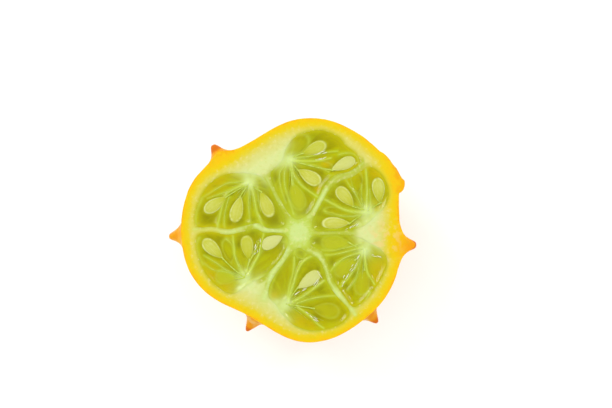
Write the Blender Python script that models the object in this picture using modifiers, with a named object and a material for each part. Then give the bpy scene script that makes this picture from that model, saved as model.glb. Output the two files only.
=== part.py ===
"""Half of a horned melon, cut across and standing on three of its horns with the cut face up.

The rind and its pale flesh are one grown body with six deep pockets, two to each of the three
carpels. Each pocket holds one body of green jelly, and on the jelly lies one fan of seeds, which
hang by pale stalks from the place where the flesh feeds them.

Plan positions are in millimetres from the fruit's core, +X right and +Y up on the cut face.
"""

import math
import random

import bmesh
import bpy
from mathutils import Matrix, Vector
from mathutils.geometry import intersect_line_line_2d

MM = 0.001

# The fruit's body.
CUT_HEIGHT = 55.0  # the cut face above the surface that the horns stand on
BODY_DEPTH = 51.5  # from the cut face down to the blossom end
BODY_FULLNESS = 2.25  # 2 is an ellipsoid, more is fuller at the shoulder
MEAN_RADIUS = 33.5
LOBING = (  # (waves round the fruit, height, angle of a crest in degrees)
    (1, 0.30, 160.0),
    (2, 0.40, 4.0),
    (3, 2.10, 59.5),
    (4, 0.25, 88.0),
    (5, 0.27, 66.0),
    (6, 0.63, 31.5),
)
BODY_SEGMENTS = 60
BODY_RINGS = 24

# The horns: a wide skirt that draws in to a blunt tip.
HORN_PROFILE = (  # (radius, height) from the tip down
    (0.00, 5.00),
    (0.55, 4.86),
    (0.90, 4.30),
    (1.60, 2.30),
    (2.50, 1.15),
    (4.30, -0.80),
    (3.90, -2.60),
    (0.00, -2.60),
)
HORN_SIDES = 8
HORN_LENGTH = 5.6
HORN_LENGTH_SPREAD = 0.10
HORN_LEAN = 7.0  # degrees, the most that a horn leans away from square
SWELL_HEIGHT = 0.9  # the body swells under each horn
SWELL_REACH = 5.5
RIM_HORNS = (  # (angle round the fruit, depth below the cut face, length)
    (26.0, 0.7, 2.4),
    (138.0, 0.9, 4.8),
    (353.5, 0.6, 4.9),
    (182.0, 6.6, 4.2),
    (243.5, 8.4, 4.9),
    (312.0, 7.8, 4.2),
)
SIDE_HORN_ANGLES = (41.0, 78.0, 157.0, 203.0, 281.0, 324.0)
SIDE_HORN_DEPTH = 30.2
LOW_HORN_ANGLES = (2.0, 62.0, 121.0, 180.0, 243.0, 300.0)
LOW_HORN_DEPTH = 40.0
HORN_SCATTER = 2.2  # the side and low horns stray this far from their rows
FOOT_ANGLES = (92.0, 212.0, 332.0)
FOOT_DEPTH = 48.4
FOOT_LENGTH = 8.6

# The pockets in the flesh and the jelly that fills them.
GAP = 0.3  # clear space kept between touching pieces
FLESH_UNDER_POCKETS = 7.0
POCKET_LEVELS = (0.0, 0.36, 0.66, 0.88)  # shares of the pockets' full depth
OUTLINE_STEPS = 2  # points of each pocket's smooth outline from one corner to the next
JELLY_TOP = 0.45  # how far the jelly's top lies under the cut face
JELLY_SHOULDER = 0.5  # how far the jelly's edge falls below its top
JELLY_SHOULDER_WIDTH = 0.7

# The seeds and the pale strands among them.
SEED_WIDTH = 3.7
SEED_THICKNESS = 1.7
SEED_TAPER = 0.40  # 0 is an ellipse, more is drawn out further to a point
SEED_SEGMENTS = 8
SEED_RINGS = 8
STRAND_KNOT_RADIUS = 0.55  # a strand's radius at the knot and at its far end
STRAND_END_RADIUS = 0.40
STRAND_BEND = 0.5
STRAND_STEPS = 2
STRAND_MARGIN = 0.9  # a strand ends this far inside its pocket
STRAND_DEPTH = 0.25  # the strands' centre lines, under the cut face
STALK_OVERLAP = 1.2  # how far a stalk runs into its seed
KNOT_RADIUS = 1.25

# Each fan has a knot that its seeds hang from, the corners of its pocket, its strands as (angle,
# length) and its seeds as (pointed end, round end, depth of the middle under the cut face).
FANS = (
    {
        "knot": (21.4, 5.6),
        "pocket": (
            (4.4, 1.4), (5.3, 4.4), (7.5, 8.4), (9.8, 12.2), (12.9, 14.8), (16.9, 16.2), (20.6, 18.6),
            (23.0, 19.0), (26.0, 16.4), (27.9, 11.7), (26.9, 7.1), (23.8, 4.0), (20.6, 1.2),
            (15.8, -0.2), (9.7, -0.5), (5.8, -0.5),
        ),
        "strands": ((95.0, 14.5), (122.0, 12.6), (163.0, 14.0)),
        "seeds": (
            ((25.2, 8.4), (24.6, 15.9), 0.25),
            ((17.3, 7.1), (12.1, 12.9), 0.35),
            ((15.9, 2.0), (7.6, 1.8), 0.20),
        ),
    },
    {
        "knot": (-2.5, 21.4),
        "pocket": (
            (0.0, 3.0), (3.8, 5.2), (6.2, 9.4), (8.4, 13.6), (11.4, 16.6), (15.6, 17.8), (19.0, 20.4),
            (17.8, 23.4), (14.8, 25.8), (12.4, 28.6), (6.8, 30.5), (0.2, 29.0), (-3.4, 25.4),
            (-5.0, 21.0), (-8.2, 17.4), (-7.4, 13.4), (-5.5, 9.7), (-3.0, 5.2),
        ),
        "strands": ((2.0, 12.5), (308.0, 15.2), (264.0, 16.0)),
        "seeds": (
            ((1.6, 23.3), (8.7, 26.3), 0.30),
            ((10.6, 18.4), (17.8, 21.7), 0.10),
            ((0.3, 18.2), (6.9, 14.3), 0.20),
            ((-1.7, 14.3), (1.1, 6.4), 0.50),
        ),
    },
    {
        "knot": (-14.7, 14.25),
        "pocket": (
            (-4.0, 1.2), (-6.5, 0.3), (-9.6, 0.5), (-12.0, 1.9), (-17.2, 0.9), (-21.3, 0.1),
            (-26.0, 0.8), (-30.8, 0.9), (-31.3, 5.6), (-28.6, 12.0), (-24.4, 15.9),
            (-19.0, 17.4), (-12.4, 16.8), (-9.2, 14.2), (-6.6, 9.0), (-3.8, 3.6),
        ),
        "strands": ((198.0, 15.0), (235.0, 16.5), (269.0, 12.0), (288.0, 12.0)),
        "seeds": (
            ((-22.0, 9.9), (-28.6, 5.4), 0.25),
            ((-17.5, 10.2), (-19.5, 2.4), 0.20),
            ((-11.4, 11.7), (-8.1, 4.0), 0.20),
        ),
    },
    {
        "knot": (-16.2, -14.7),
        "pocket": (
            (-3.6, -1.7), (-2.9, -4.3), (-5.0, -8.8), (-9.8, -13.9), (-14.6, -16.6), (-19.5, -19.7),
            (-24.4, -17.6), (-28.4, -13.0), (-30.8, -6.6), (-30.6, -1.8), (-26.5, -0.8),
            (-21.5, -1.6), (-17.2, -0.8), (-12.8, 0.1), (-10.2, -1.0), (-7.0, -0.9),
        ),
        "strands": ((107.0, 13.2), (67.0, 13.0), (162.0, 13.0)),
        "seeds": (
            ((-23.0, -8.7), (-28.9, -3.2), 0.20),
            ((-14.9, -9.4), (-15.8, -1.9), 0.35),
            ((-4.6, -1.9), (-11.0, -5.4), 0.05),
            ((-18.5, -14.9), (-24.8, -14.2), 0.50),
        ),
    },
    {
        "knot": (-3.5, -22.8),
        "pocket": (
            (0.6, -5.6), (3.4, -7.6), (6.6, -9.3), (8.1, -12.6), (9.6, -16.9), (12.3, -20.7),
            (15.8, -24.8), (14.4, -28.0), (10.2, -30.1), (4.6, -30.9), (-0.8, -29.4),
            (-4.8, -26.0), (-6.8, -23.0), (-8.8, -20.6), (-8.3, -16.4), (-4.5, -10.6),
            (-2.0, -7.2),
        ),
        "strands": ((69.0, 14.2), (25.0, 14.5), (8.0, 15.0), (325.0, 12.4)),
        "seeds": (
            ((0.1, -18.0), (6.7, -13.2), 0.20),
            ((4.6, -24.1), (12.4, -25.3), 0.50),
        ),
    },
    {
        "knot": (20.6, -6.55),
        "pocket": (
            (3.9, -2.6), (4.4, -5.0), (7.6, -7.0), (9.8, -12.4), (11.4, -16.4), (14.1, -20.2),
            (17.0, -23.7), (20.8, -21.4), (24.8, -16.4), (27.4, -10.1), (25.6, -6.2),
            (22.2, -4.2), (18.4, -2.2), (13.0, -1.7), (7.0, -1.7),
        ),
        "strands": ((188.0, 14.0), (241.0, 12.5), (284.0, 10.0)),
        "seeds": (
            ((16.0, -4.1), (7.6, -4.0), 0.50),
            ((17.9, -9.0), (11.9, -13.6), 0.20),
            ((20.5, -11.9), (19.2, -19.7), 0.50),
        ),
    },
)

COLOURS = {
    "rind": (0.95, 0.56, 0.02),
    "pulp": (0.42, 0.44, 0.02),
    "seeds": (0.66, 0.72, 0.22),
}
ROUGHNESS = {"rind": 0.45, "pulp": 0.15, "seeds": 0.30}
RANDOM_SEED = 7


def clear_scene():
    """Removes whatever the file opened with."""
    for obj in list(bpy.data.objects):
        bpy.data.objects.remove(obj)


def make_collection(name):
    collection = bpy.data.collections.new(name)
    bpy.context.scene.collection.children.link(collection)
    return collection


def remove_collection(collection):
    for obj in list(collection.objects):
        bpy.data.objects.remove(obj)
    bpy.data.collections.remove(collection)


def make_material(name):
    material = bpy.data.materials.new(name)
    material.use_nodes = True
    shader = material.node_tree.nodes["Principled BSDF"]
    shader.inputs["Base Color"].default_value = (*COLOURS[name], 1.0)
    shader.inputs["Roughness"].default_value = ROUGHNESS[name]
    shader.inputs["Metallic"].default_value = 0.0
    return material


def object_from(bm, name, collection, material=None):
    """Turns a bmesh, drawn in millimetres, into an object in metres, and frees the bmesh."""
    bmesh.ops.scale(bm, vec=(MM, MM, MM), verts=bm.verts)
    mesh = bpy.data.meshes.new(name)
    bm.to_mesh(mesh)
    bm.free()
    if material:
        mesh.materials.append(material)
    obj = bpy.data.objects.new(name, mesh)
    collection.objects.link(obj)
    return obj


def as_cutter(obj):
    obj.hide_render = True
    obj.display_type = "WIRE"
    return obj


def evaluated_mesh(obj):
    """A new mesh of the object with its modifiers, or its curve's bevel, worked out."""
    bpy.context.view_layer.update()
    graph = bpy.context.evaluated_depsgraph_get()
    return bpy.data.meshes.new_from_object(obj.evaluated_get(graph))


def join_collection(obj, collection):
    """Unites the object with everything in the collection, and removes the collection."""
    union = obj.modifiers.new("join", "BOOLEAN")
    union.operation = "UNION"
    union.solver = "EXACT"
    union.operand_type = "COLLECTION"
    union.collection = collection
    joined = evaluated_mesh(obj)
    obj.modifiers.remove(union)
    obj.data = joined
    remove_collection(collection)


def cut_away(obj, cutter):
    """Cuts another object, or a collection of them, out of the object."""
    cut = obj.modifiers.new(cutter.name, "BOOLEAN")
    cut.operation = "DIFFERENCE"
    cut.solver = "EXACT"
    if isinstance(cutter, bpy.types.Collection):
        cut.operand_type = "COLLECTION"
        cut.collection = cutter
    else:
        cut.object = cutter


# The body and its horns


def rim_radius(angle):
    """The fruit's radius on the cut face, three-lobed, with a dent over each thick wall."""
    waves = (
        height * math.cos(count * (angle - math.radians(crest)))
        for count, height, crest in LOBING
    )
    return MEAN_RADIUS + sum(waves)


def width_at(share):
    """The body's width as a share of its full width, at a share of its depth."""
    return (1.0 - min(1.0, abs(share)) ** BODY_FULLNESS) ** (1.0 / BODY_FULLNESS)


def body_point(angle, share):
    """A point of the plain body. share runs from 0 at the cut face to 1 at the blossom end."""
    width = width_at(share)
    lobes = (rim_radius(angle) - MEAN_RADIUS) * width
    radius = width * (MEAN_RADIUS + lobes)
    return Vector(
        (radius * math.cos(angle), radius * math.sin(angle), CUT_HEIGHT - BODY_DEPTH * share)
    )


def body_normal(angle, share, step=0.01):
    along = body_point(angle + step, share) - body_point(angle - step, share)
    down = body_point(angle, share + step) - body_point(angle, share - step)
    return down.cross(along).normalized()


def horn_sites():
    """Every horn as (angle, depth share, length): at the rim, on the side, low, and the feet."""
    draw = random.Random(RANDOM_SEED)
    sites = [
        (math.radians(angle), depth / BODY_DEPTH, length) for angle, depth, length in RIM_HORNS
    ]
    rows = ((SIDE_HORN_DEPTH, SIDE_HORN_ANGLES), (LOW_HORN_DEPTH, LOW_HORN_ANGLES))
    for row_depth, angles in rows:
        for row_angle in angles:
            depth = row_depth + draw.uniform(-HORN_SCATTER, HORN_SCATTER)
            angle = math.radians(row_angle) + draw.uniform(-HORN_SCATTER, HORN_SCATTER) / MEAN_RADIUS
            length = HORN_LENGTH * (1.0 + draw.uniform(-HORN_LENGTH_SPREAD, HORN_LENGTH_SPREAD))
            sites.append((angle, depth / BODY_DEPTH, length))
    for angle in FOOT_ANGLES:
        sites.append((math.radians(angle), FOOT_DEPTH / BODY_DEPTH, FOOT_LENGTH))
    return sites


def make_body(sites, collection, material):
    """The whole fruit as a sphere drawn to shape, swollen a little under each horn."""
    roots = [body_point(angle, share) for angle, share, _ in sites]
    bm = bmesh.new()
    bmesh.ops.create_uvsphere(bm, u_segments=BODY_SEGMENTS, v_segments=BODY_RINGS, radius=1.0)
    for vert in bm.verts:
        angle = math.atan2(vert.co.y, vert.co.x)
        share = -math.copysign(abs(vert.co.z) ** (2.0 / BODY_FULLNESS), vert.co.z)
        point = body_point(angle, share)
        outward = Vector((math.cos(angle), math.sin(angle), 0.0)) * (1.0 - abs(share))
        outward.z = -share
        near = max(math.exp(-(((point - root).length / SWELL_REACH) ** 2)) for root in roots)
        vert.co = point + outward.normalized() * SWELL_HEIGHT * near
    return object_from(bm, "rind", collection, material)


def make_horn_mesh(collection):
    """One horn, turned from its profile."""
    bm = bmesh.new()
    points = [bm.verts.new((radius, 0.0, height)) for radius, height in HORN_PROFILE]
    for upper, lower in zip(points, points[1:]):
        bm.edges.new((upper, lower))
    profile = object_from(bm, "horn_profile", collection)
    screw = profile.modifiers.new("turn", "SCREW")
    screw.steps = HORN_SIDES
    screw.render_steps = HORN_SIDES
    screw.use_merge_vertices = True
    screw.merge_threshold = 0.00001
    horn = evaluated_mesh(profile)
    bpy.data.objects.remove(profile)
    return horn


def make_horns(sites, collection):
    """One object for each horn, square to the skin apart from a small lean."""
    draw = random.Random(RANDOM_SEED)
    mesh = make_horn_mesh(collection)
    full_length = HORN_PROFILE[0][1]
    free_horns = len(sites) - len(FOOT_ANGLES)
    for index, (angle, share, length) in enumerate(sites):
        normal = body_normal(angle, share)
        lean = Vector([draw.uniform(-1.0, 1.0) for _ in range(3)])
        lean *= math.tan(math.radians(HORN_LEAN)) if index < free_horns else 0.0
        horn = bpy.data.objects.new(f"horn_{index}", mesh)
        root = body_point(angle, share) + normal * SWELL_HEIGHT / 2.0
        turn = (normal + lean).to_track_quat("Z", "Y")
        horn.matrix_world = Matrix.LocRotScale(root * MM, turn, (1.0, 1.0, length / full_length))
        collection.objects.link(horn)


def make_block(name, low, high, collection):
    """A plain box between two heights, wide enough to cut right across the fruit."""
    bm = bmesh.new()
    bmesh.ops.create_cube(bm, size=1.0)
    bmesh.ops.scale(bm, vec=(4.0 * MEAN_RADIUS, 4.0 * MEAN_RADIUS, high - low), verts=bm.verts)
    bmesh.ops.translate(bm, vec=(0.0, 0.0, (low + high) / 2.0), verts=bm.verts)
    return as_cutter(object_from(bm, name, collection))


# The pockets and the jelly


def smooth_outline(corners):
    """A closed smooth curve through the corners (Catmull-Rom), as plan points."""
    count = len(corners)
    outline = []
    for index in range(count):
        a, b, c, d = (Vector(corners[(index + shift) % count]) for shift in (-1, 0, 1, 2))
        for step in range(OUTLINE_STEPS):
            t = step / OUTLINE_STEPS
            square = (2.0 * a - 5.0 * b + 4.0 * c - d) * t**2
            cube = (3.0 * b - a - 3.0 * c + d) * t**3
            outline.append(0.5 * (2.0 * b + (c - a) * t + square + cube))
    return outline


def turns_left(outline):
    """Whether the outline runs anticlockwise."""
    pairs = zip(outline, outline[1:] + outline[:1])
    return sum(a.x * b.y - b.x * a.y for a, b in pairs) > 0.0


def moved_in(outline, distance):
    """The outline moved inwards, square to itself at each point."""
    inwards = distance if turns_left(outline) else -distance
    moved = []
    for index, point in enumerate(outline):
        along = (outline[(index + 1) % len(outline)] - outline[index - 1]).normalized()
        moved.append(point + Vector((-along.y, along.x)) * inwards)
    return moved


def loft(sections, name, collection, material=None):
    """A closed solid through alike plan outlines at rising heights."""
    bm = bmesh.new()
    rings = [[bm.verts.new((*point, height)) for point in outline] for outline, height in sections]
    for lower, upper in zip(rings, rings[1:]):
        for index in range(len(lower)):
            bm.faces.new((lower[index - 1], lower[index], upper[index], upper[index - 1]))
    for ring in (rings[0], rings[-1]):
        bm.faces.new(ring)
    bmesh.ops.recalc_face_normals(bm, faces=bm.faces)
    return object_from(bm, name, collection, material)


def pocket_sections(fan, inset, top):
    """The pocket's outlines from its floor up, drawn in towards the core as the body is."""
    outline = smooth_outline(fan["pocket"])
    depth = BODY_DEPTH - FLESH_UNDER_POCKETS
    sections = []
    for share in reversed(POCKET_LEVELS):
        drawn_in = [point * width_at(share) for point in outline]
        sections.append((moved_in(drawn_in, inset), CUT_HEIGHT - depth * share))
    floor, floor_height = sections[0]
    edge, _ = sections[-1]
    sections[0] = (floor, floor_height + inset)
    sections[-1] = (edge, CUT_HEIGHT + top)
    return sections


def make_pocket(fan, name, collection):
    return as_cutter(loft(pocket_sections(fan, 0.0, 2.0), name, collection))


def make_jelly(fan, name, collection, material):
    """The jelly fills its pocket, with a rounded shoulder up to its flat top."""
    sections = pocket_sections(fan, GAP, -JELLY_TOP - JELLY_SHOULDER)
    edge, _ = sections[-1]
    for width, fall in ((0.3, 0.35), (1.0, 0.0)):
        height = CUT_HEIGHT - JELLY_TOP - JELLY_SHOULDER * fall
        sections.append((moved_in(edge, JELLY_SHOULDER_WIDTH * width), height))
    return loft(sections, name, collection, material)


# The seeds, their stalks and the strands between the sacs


def reach_within(fan, angle):
    """How far a straight line runs from the fan's knot before it leaves the pocket."""
    knot = Vector(fan["knot"])
    far = knot + Vector((math.cos(angle), math.sin(angle))) * 4.0 * MEAN_RADIUS
    outline = smooth_outline(fan["pocket"])
    crossings = (
        intersect_line_line_2d(knot, far, first, second)
        for first, second in zip(outline, outline[1:] + outline[:1])
    )
    return min(((crossing - knot).length for crossing in crossings if crossing), default=0.0)


def make_seed(tip, round_end, depth, grow, name, collection):
    """A flat drop: a ball drawn out to a point at one end."""
    run = Vector(round_end) - Vector(tip)
    middle = (Vector(round_end) + Vector(tip)) / 2.0
    bm = bmesh.new()
    bmesh.ops.create_uvsphere(bm, u_segments=SEED_SEGMENTS, v_segments=SEED_RINGS, radius=1.0)
    for vert in bm.verts:
        across, up, along = vert.co
        taper = 1.2 * ((1.0 + along) / 2.0) ** SEED_TAPER
        vert.co = (
            along * (run.length / 2.0 + grow),
            across * (SEED_WIDTH / 2.0 * taper + grow),
            up * (SEED_THICKNESS / 2.0 * taper + grow),
        )
    turn = Matrix.Rotation(math.atan2(run.y, run.x), 3, "Z")
    bmesh.ops.rotate(bm, matrix=turn, verts=bm.verts)
    bmesh.ops.translate(bm, vec=(*middle, CUT_HEIGHT - depth), verts=bm.verts)
    bmesh.ops.recalc_face_normals(bm, faces=bm.faces)
    return object_from(bm, name, collection)


def make_knot(knot, grow, name, collection):
    """The rounded lump that the strands of a fan spring from."""
    bm = bmesh.new()
    bmesh.ops.create_uvsphere(bm, u_segments=SEED_SEGMENTS, v_segments=5, radius=1.0)
    width = KNOT_RADIUS + grow
    bmesh.ops.scale(bm, vec=(width, width, KNOT_RADIUS / 2.0 + grow), verts=bm.verts)
    bmesh.ops.translate(bm, vec=(*knot, CUT_HEIGHT - STRAND_DEPTH), verts=bm.verts)
    return object_from(bm, name, collection)


def make_strand(start, end, bend, grow, name, collection):
    """A tapered strand from start to end, bowed to one side."""
    steps = STRAND_STEPS if bend else 1
    run = end - start
    side = Vector((-run.y, run.x)).normalized() * bend
    curve = bpy.data.curves.new(name, "CURVE")
    curve.dimensions = "3D"
    curve.bevel_depth = MM
    curve.bevel_resolution = 1
    curve.use_fill_caps = True
    spline = curve.splines.new("POLY")
    spline.points.add(steps)
    for step, point in enumerate(spline.points):
        share = step / steps
        place = start + run * share + side * math.sin(math.pi * share)
        place += run.normalized() * grow * (2.0 * share - 1.0)
        point.co = (*(place * MM), (CUT_HEIGHT - STRAND_DEPTH) * MM, 1.0)
        point.radius = STRAND_KNOT_RADIUS * (1.0 - share) + STRAND_END_RADIUS * share + grow
    tube = bpy.data.objects.new(name, curve)
    collection.objects.link(tube)
    bm = bmesh.new()
    bm.from_mesh(evaluated_mesh(tube))
    bpy.data.objects.remove(tube)
    bmesh.ops.remove_doubles(bm, verts=bm.verts, dist=0.00001)
    bmesh.ops.scale(bm, vec=(1.0 / MM, 1.0 / MM, 1.0 / MM), verts=bm.verts)
    return object_from(bm, name, collection)


def make_seed_fan(fan, grow, name, collection, material=None):
    """The knot, the strands and the stalked seeds of one fan, joined in one body."""
    parts = make_collection(f"{name}_parts")
    knot = Vector(fan["knot"])
    for index, (angle, length) in enumerate(fan["strands"]):
        turn = math.radians(angle)
        reach = min(length, reach_within(fan, turn) - STRAND_MARGIN)
        end = knot + Vector((math.cos(turn), math.sin(turn))) * reach
        bend = STRAND_BEND if index % 2 else -STRAND_BEND
        make_strand(knot, end, bend, grow, f"{name}_strand_{index}", parts)
    for index, (tip, round_end, depth) in enumerate(fan["seeds"]):
        make_seed(tip, round_end, depth, grow, f"{name}_seed_{index}", parts)
        near, far = sorted(
            (Vector(tip), Vector(round_end)), key=lambda end: (end - knot).length
        )
        inside = near + (far - near).normalized() * STALK_OVERLAP
        make_strand(knot, inside, 0.0, grow, f"{name}_stalk_{index}", parts)
    body = make_knot(knot, grow, name, collection)
    join_collection(body, parts)
    if material:
        body.data.materials.clear()
        body.data.materials.append(material)
    return body


# Putting it together


def stand_on_origin(pieces, cutters):
    """Hangs everything on one empty, placed so that the origin lies under the box's middle."""
    corners = [vert.co for piece in pieces for vert in evaluated_mesh(piece).vertices]
    middle = [(min(c[axis] for c in corners) + max(c[axis] for c in corners)) / 2.0 for axis in (0, 1)]
    stand = bpy.data.objects.new("horned_melon", None)
    bpy.context.scene.collection.objects.link(stand)
    for obj in (*pieces, *cutters):
        obj.parent = stand
    stand.location = (-middle[0], -middle[1], 0.0)
    bpy.context.view_layer.update()


def shade_round(obj):
    obj.data.shade_smooth()
    obj.data.set_sharp_from_angle(angle=math.radians(40.0))


def main():
    clear_scene()
    melon = make_collection("horned_melon_half")
    knives = make_collection("knives")
    pockets = make_collection("pockets")
    seed_beds = make_collection("seed_beds")
    horns = make_collection("horns")
    materials = {name: make_material(name) for name in COLOURS}

    seeds = []
    for number, fan in enumerate(FANS, start=1):
        as_cutter(make_seed_fan(fan, GAP, f"seed_bed_{number}", seed_beds))
        seeds.append(make_seed_fan(fan, 0.0, f"seeds_{number}", melon, materials["seeds"]))

    sites = horn_sites()
    rind = make_body(sites, melon, materials["rind"])
    make_horns(sites, horns)
    join_collection(rind, horns)
    make_block("above_the_cut", CUT_HEIGHT, CUT_HEIGHT + 2.0 * BODY_DEPTH, knives)
    make_block("under_the_feet", -BODY_DEPTH, 0.0, knives)
    for number, fan in enumerate(FANS, start=1):
        make_pocket(fan, f"pocket_{number}", pockets)
    cut_away(rind, knives)
    cut_away(rind, pockets)

    jellies = []
    for number, fan in enumerate(FANS, start=1):
        jelly = make_jelly(fan, f"pulp_{number}", melon, materials["pulp"])
        cut_away(jelly, seed_beds.objects[f"seed_bed_{number}"])
        jellies.append(jelly)

    pieces = (rind, *jellies, *seeds)
    cutters = (*knives.objects, *pockets.objects, *seed_beds.objects)
    stand_on_origin(pieces, cutters)
    for piece in pieces:
        shade_round(piece)


main()
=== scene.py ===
"""The looks of half a horned melon: its waxy horned skin, pale flesh, wet jelly and seed fans.

Plan positions are in millimetres from the fruit's core, +X right and +Y up on the cut face,
and heights are in millimetres above the surface that the half stands on.
"""

import math
import random

import bmesh
import bpy
import numpy as np
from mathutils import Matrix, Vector, noise
from mathutils.geometry import delaunay_2d_cdt


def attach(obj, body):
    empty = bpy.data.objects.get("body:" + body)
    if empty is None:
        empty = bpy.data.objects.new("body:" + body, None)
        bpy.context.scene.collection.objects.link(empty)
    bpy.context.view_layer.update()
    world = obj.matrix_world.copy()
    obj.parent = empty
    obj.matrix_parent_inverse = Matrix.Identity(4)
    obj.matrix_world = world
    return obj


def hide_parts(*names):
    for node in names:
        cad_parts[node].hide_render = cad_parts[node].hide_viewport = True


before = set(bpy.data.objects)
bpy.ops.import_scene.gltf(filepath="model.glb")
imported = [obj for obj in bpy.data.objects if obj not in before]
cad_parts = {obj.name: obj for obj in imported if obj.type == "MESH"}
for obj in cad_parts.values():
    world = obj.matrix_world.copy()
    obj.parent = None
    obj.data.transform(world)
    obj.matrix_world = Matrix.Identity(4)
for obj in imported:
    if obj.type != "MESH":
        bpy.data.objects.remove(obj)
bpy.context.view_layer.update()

MM = 0.001

# The fruit's body, in the solid's own measures.
CORE = (1.63, -0.35)  # the core from the frame's origin
CUT_HEIGHT = 55.0
BODY_DEPTH = 51.5
BODY_FULLNESS = 2.25
MEAN_RADIUS = 33.5
LOBING = (  # (waves round the fruit, height, angle of a crest in degrees)
    (1, 0.30, 160.0),
    (2, 0.40, 4.0),
    (3, 2.10, 59.5),
    (4, 0.25, 88.0),
    (5, 0.27, 66.0),
    (6, 0.63, 31.5),
)
SKIN_SEGMENTS = 236
SKIN_RINGS = 156
SKIN_ABOVE_CUT = 0.22  # radians of the body that are made above the cut and sliced off
FINER_SKIN = (6.5, 3.0)  # the skin is twice as fine this near to a horn, and twice again
SKIN_WAVE = 0.16  # the skin's slow unevenness
SKIN_WAVE_LENGTH = 7.0
SKIN_RIPPLE = (0.35, 0.3)  # finer waves, as shares of its height and length
RIM_WELD = 0.04  # points of the rim that lie this close become one
WELD = 1e-4  # the same for seams
SHARP_EDGE = 55.0  # degrees between faces that don't shade as one surface

# The horns.
HORN_PROFILE = (  # (radius, height) from the tip to where the swelling dies out
    (0.00, 5.45),
    (0.30, 5.38),
    (0.56, 5.12),
    (0.82, 4.64),
    (1.12, 3.95),
    (1.46, 3.12),
    (1.84, 2.30),
    (2.26, 1.52),
    (2.80, 0.88),
    (3.60, 0.42),
    (4.80, 0.15),
    (6.20, 0.03),
    (7.40, 0.00),
)
PROFILE_STEPS = 6
HORN_FOOT = 2.8  # the horn's radius where its own swelling starts, in that profile
HORN_TIP_BROWN = 3.6  # the shortest horn whose tip is fully brown
HORN_LENGTH = 5.6
HORN_LENGTH_SPREAD = 0.10
HORN_LEAN = 7.0  # degrees, the most that a horn leans away from square
HORN_ROOT_LIFT = 0.45
RIM_HORNS = (  # (angle round the fruit, depth below the cut, length, stoutness, how brown)
    (25.4, 0.8, 2.3, 1.3, 0.9),
    (136.6, 2.4, 4.0, 1.45, 1.5),
    (351.5, 0.6, 5.1, 1.65, 1.0),
    (182.0, 6.6, 4.0, 1.4, 0.72),
    (244.2, 8.4, 4.8, 0.9, 1.05),
    (310.8, 7.8, 3.8, 0.95, 1.15),
)
SHOULDERS = (  # swellings of the rim, given like the horns
    (31.5, 1.4, 0.7, 1.7, 0.6),
    (37.5, 1.4, 0.4, 1.6, 0.6),
)
SIDE_HORN_ANGLES = (41.0, 78.0, 157.0, 203.0, 281.0, 324.0)
SIDE_HORN_DEPTH = 30.2
LOW_HORN_ANGLES = (2.0, 62.0, 121.0, 180.0, 243.0, 300.0)
LOW_HORN_DEPTH = 40.0
HORN_SCATTER = 2.2  # the side and low horns stray this far from their rows
FOOT_ANGLES = (92.0, 212.0, 332.0)
FOOT_DEPTH = 48.4
FOOT_LENGTH = 8.6
FLESH = 1  # the flesh's place among the fruit's materials, after the skin
RANDOM_SEED = 7

# The pockets, and the jelly in them.
FLESH_UNDER_POCKETS = 7.0
POCKET_LEVELS = (0.03, 0.10, 0.36, 0.66, 0.88)  # shares of the pockets' full depth
OUTLINE_STEPS = 9  # points of a pocket's outline from one corner to the next
EDGE_CLEARANCE = 0.6  # the pitch that loose points keep from an outline, as a share
FLESH_PITCH = 0.40  # distance between the points of the cut face
FLESH_BAND = 1.5  # what lies less than this below the cut counts as its face
FLESH_SLUMP = 0.08
FLESH_SLUMP_REACH = 0.80
FLESH_WAVE = 0.07
FLESH_WAVE_LENGTH = 2.5
THIN_WALL_REACH = 1.6
HORN_FLESH = 0.80  # how much deeper the yellow reaches by a horn that the knife split
SPLIT_HORNS = ((25.4, 8.0), (136.6, 5.0), (351.5, 7.0))  # (angle, how far this goes)
BLUSH = (27.0, -3.0, 5.5)  # the peach-coloured mottling by the biggest split horn: x, y, reach
HORN_GLOW = (35.4, -5.4, 4.0)  # the orange flesh in that horn's tip, given like the blush
PITH_CENTRE = (0.3, -1.0)
PITH_RADIUS = 3.7
PITH_STRETCH = (1.0, 1.25)
JELLY_PITCH = 0.27  # distance between the points of the jelly's top
JELLY_LEVEL = -0.50  # the jelly's level, from the cut face
JELLY_EDGE = -0.13  # the level where it clings to the flesh
JELLY_CLING = 1.7  # how far from the flesh it has fallen to its own level
JELLY_OVERLAP = 0.05  # how far its edge runs into the flesh
JELLY_GAP = 0.3  # how far its sides keep from the flesh below that
JELLY_SAG = 0.22  # how far it sags between its strands
JELLY_WAVE = 0.07
JELLY_WAVE_LENGTH = 1.7
STREAKS_APART = 7.0  # keeps one pocket's streaks from repeating in the next
STRAND_RIDGE = 0.34  # how far the jelly stands up over a strand
VEIL_RIDGE = 0.12  # over the soft veil beside a strand
KNOT_RISE = 0.30  # over a knot
SAC_RISE = 0.16  # over an empty sac
BURIED_RISE = 0.16  # over a buried seed
SEED_BRIM = 0.12  # round a bare seed
SEED_BED = 0.60  # how far it lies lower under a bare seed

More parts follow.
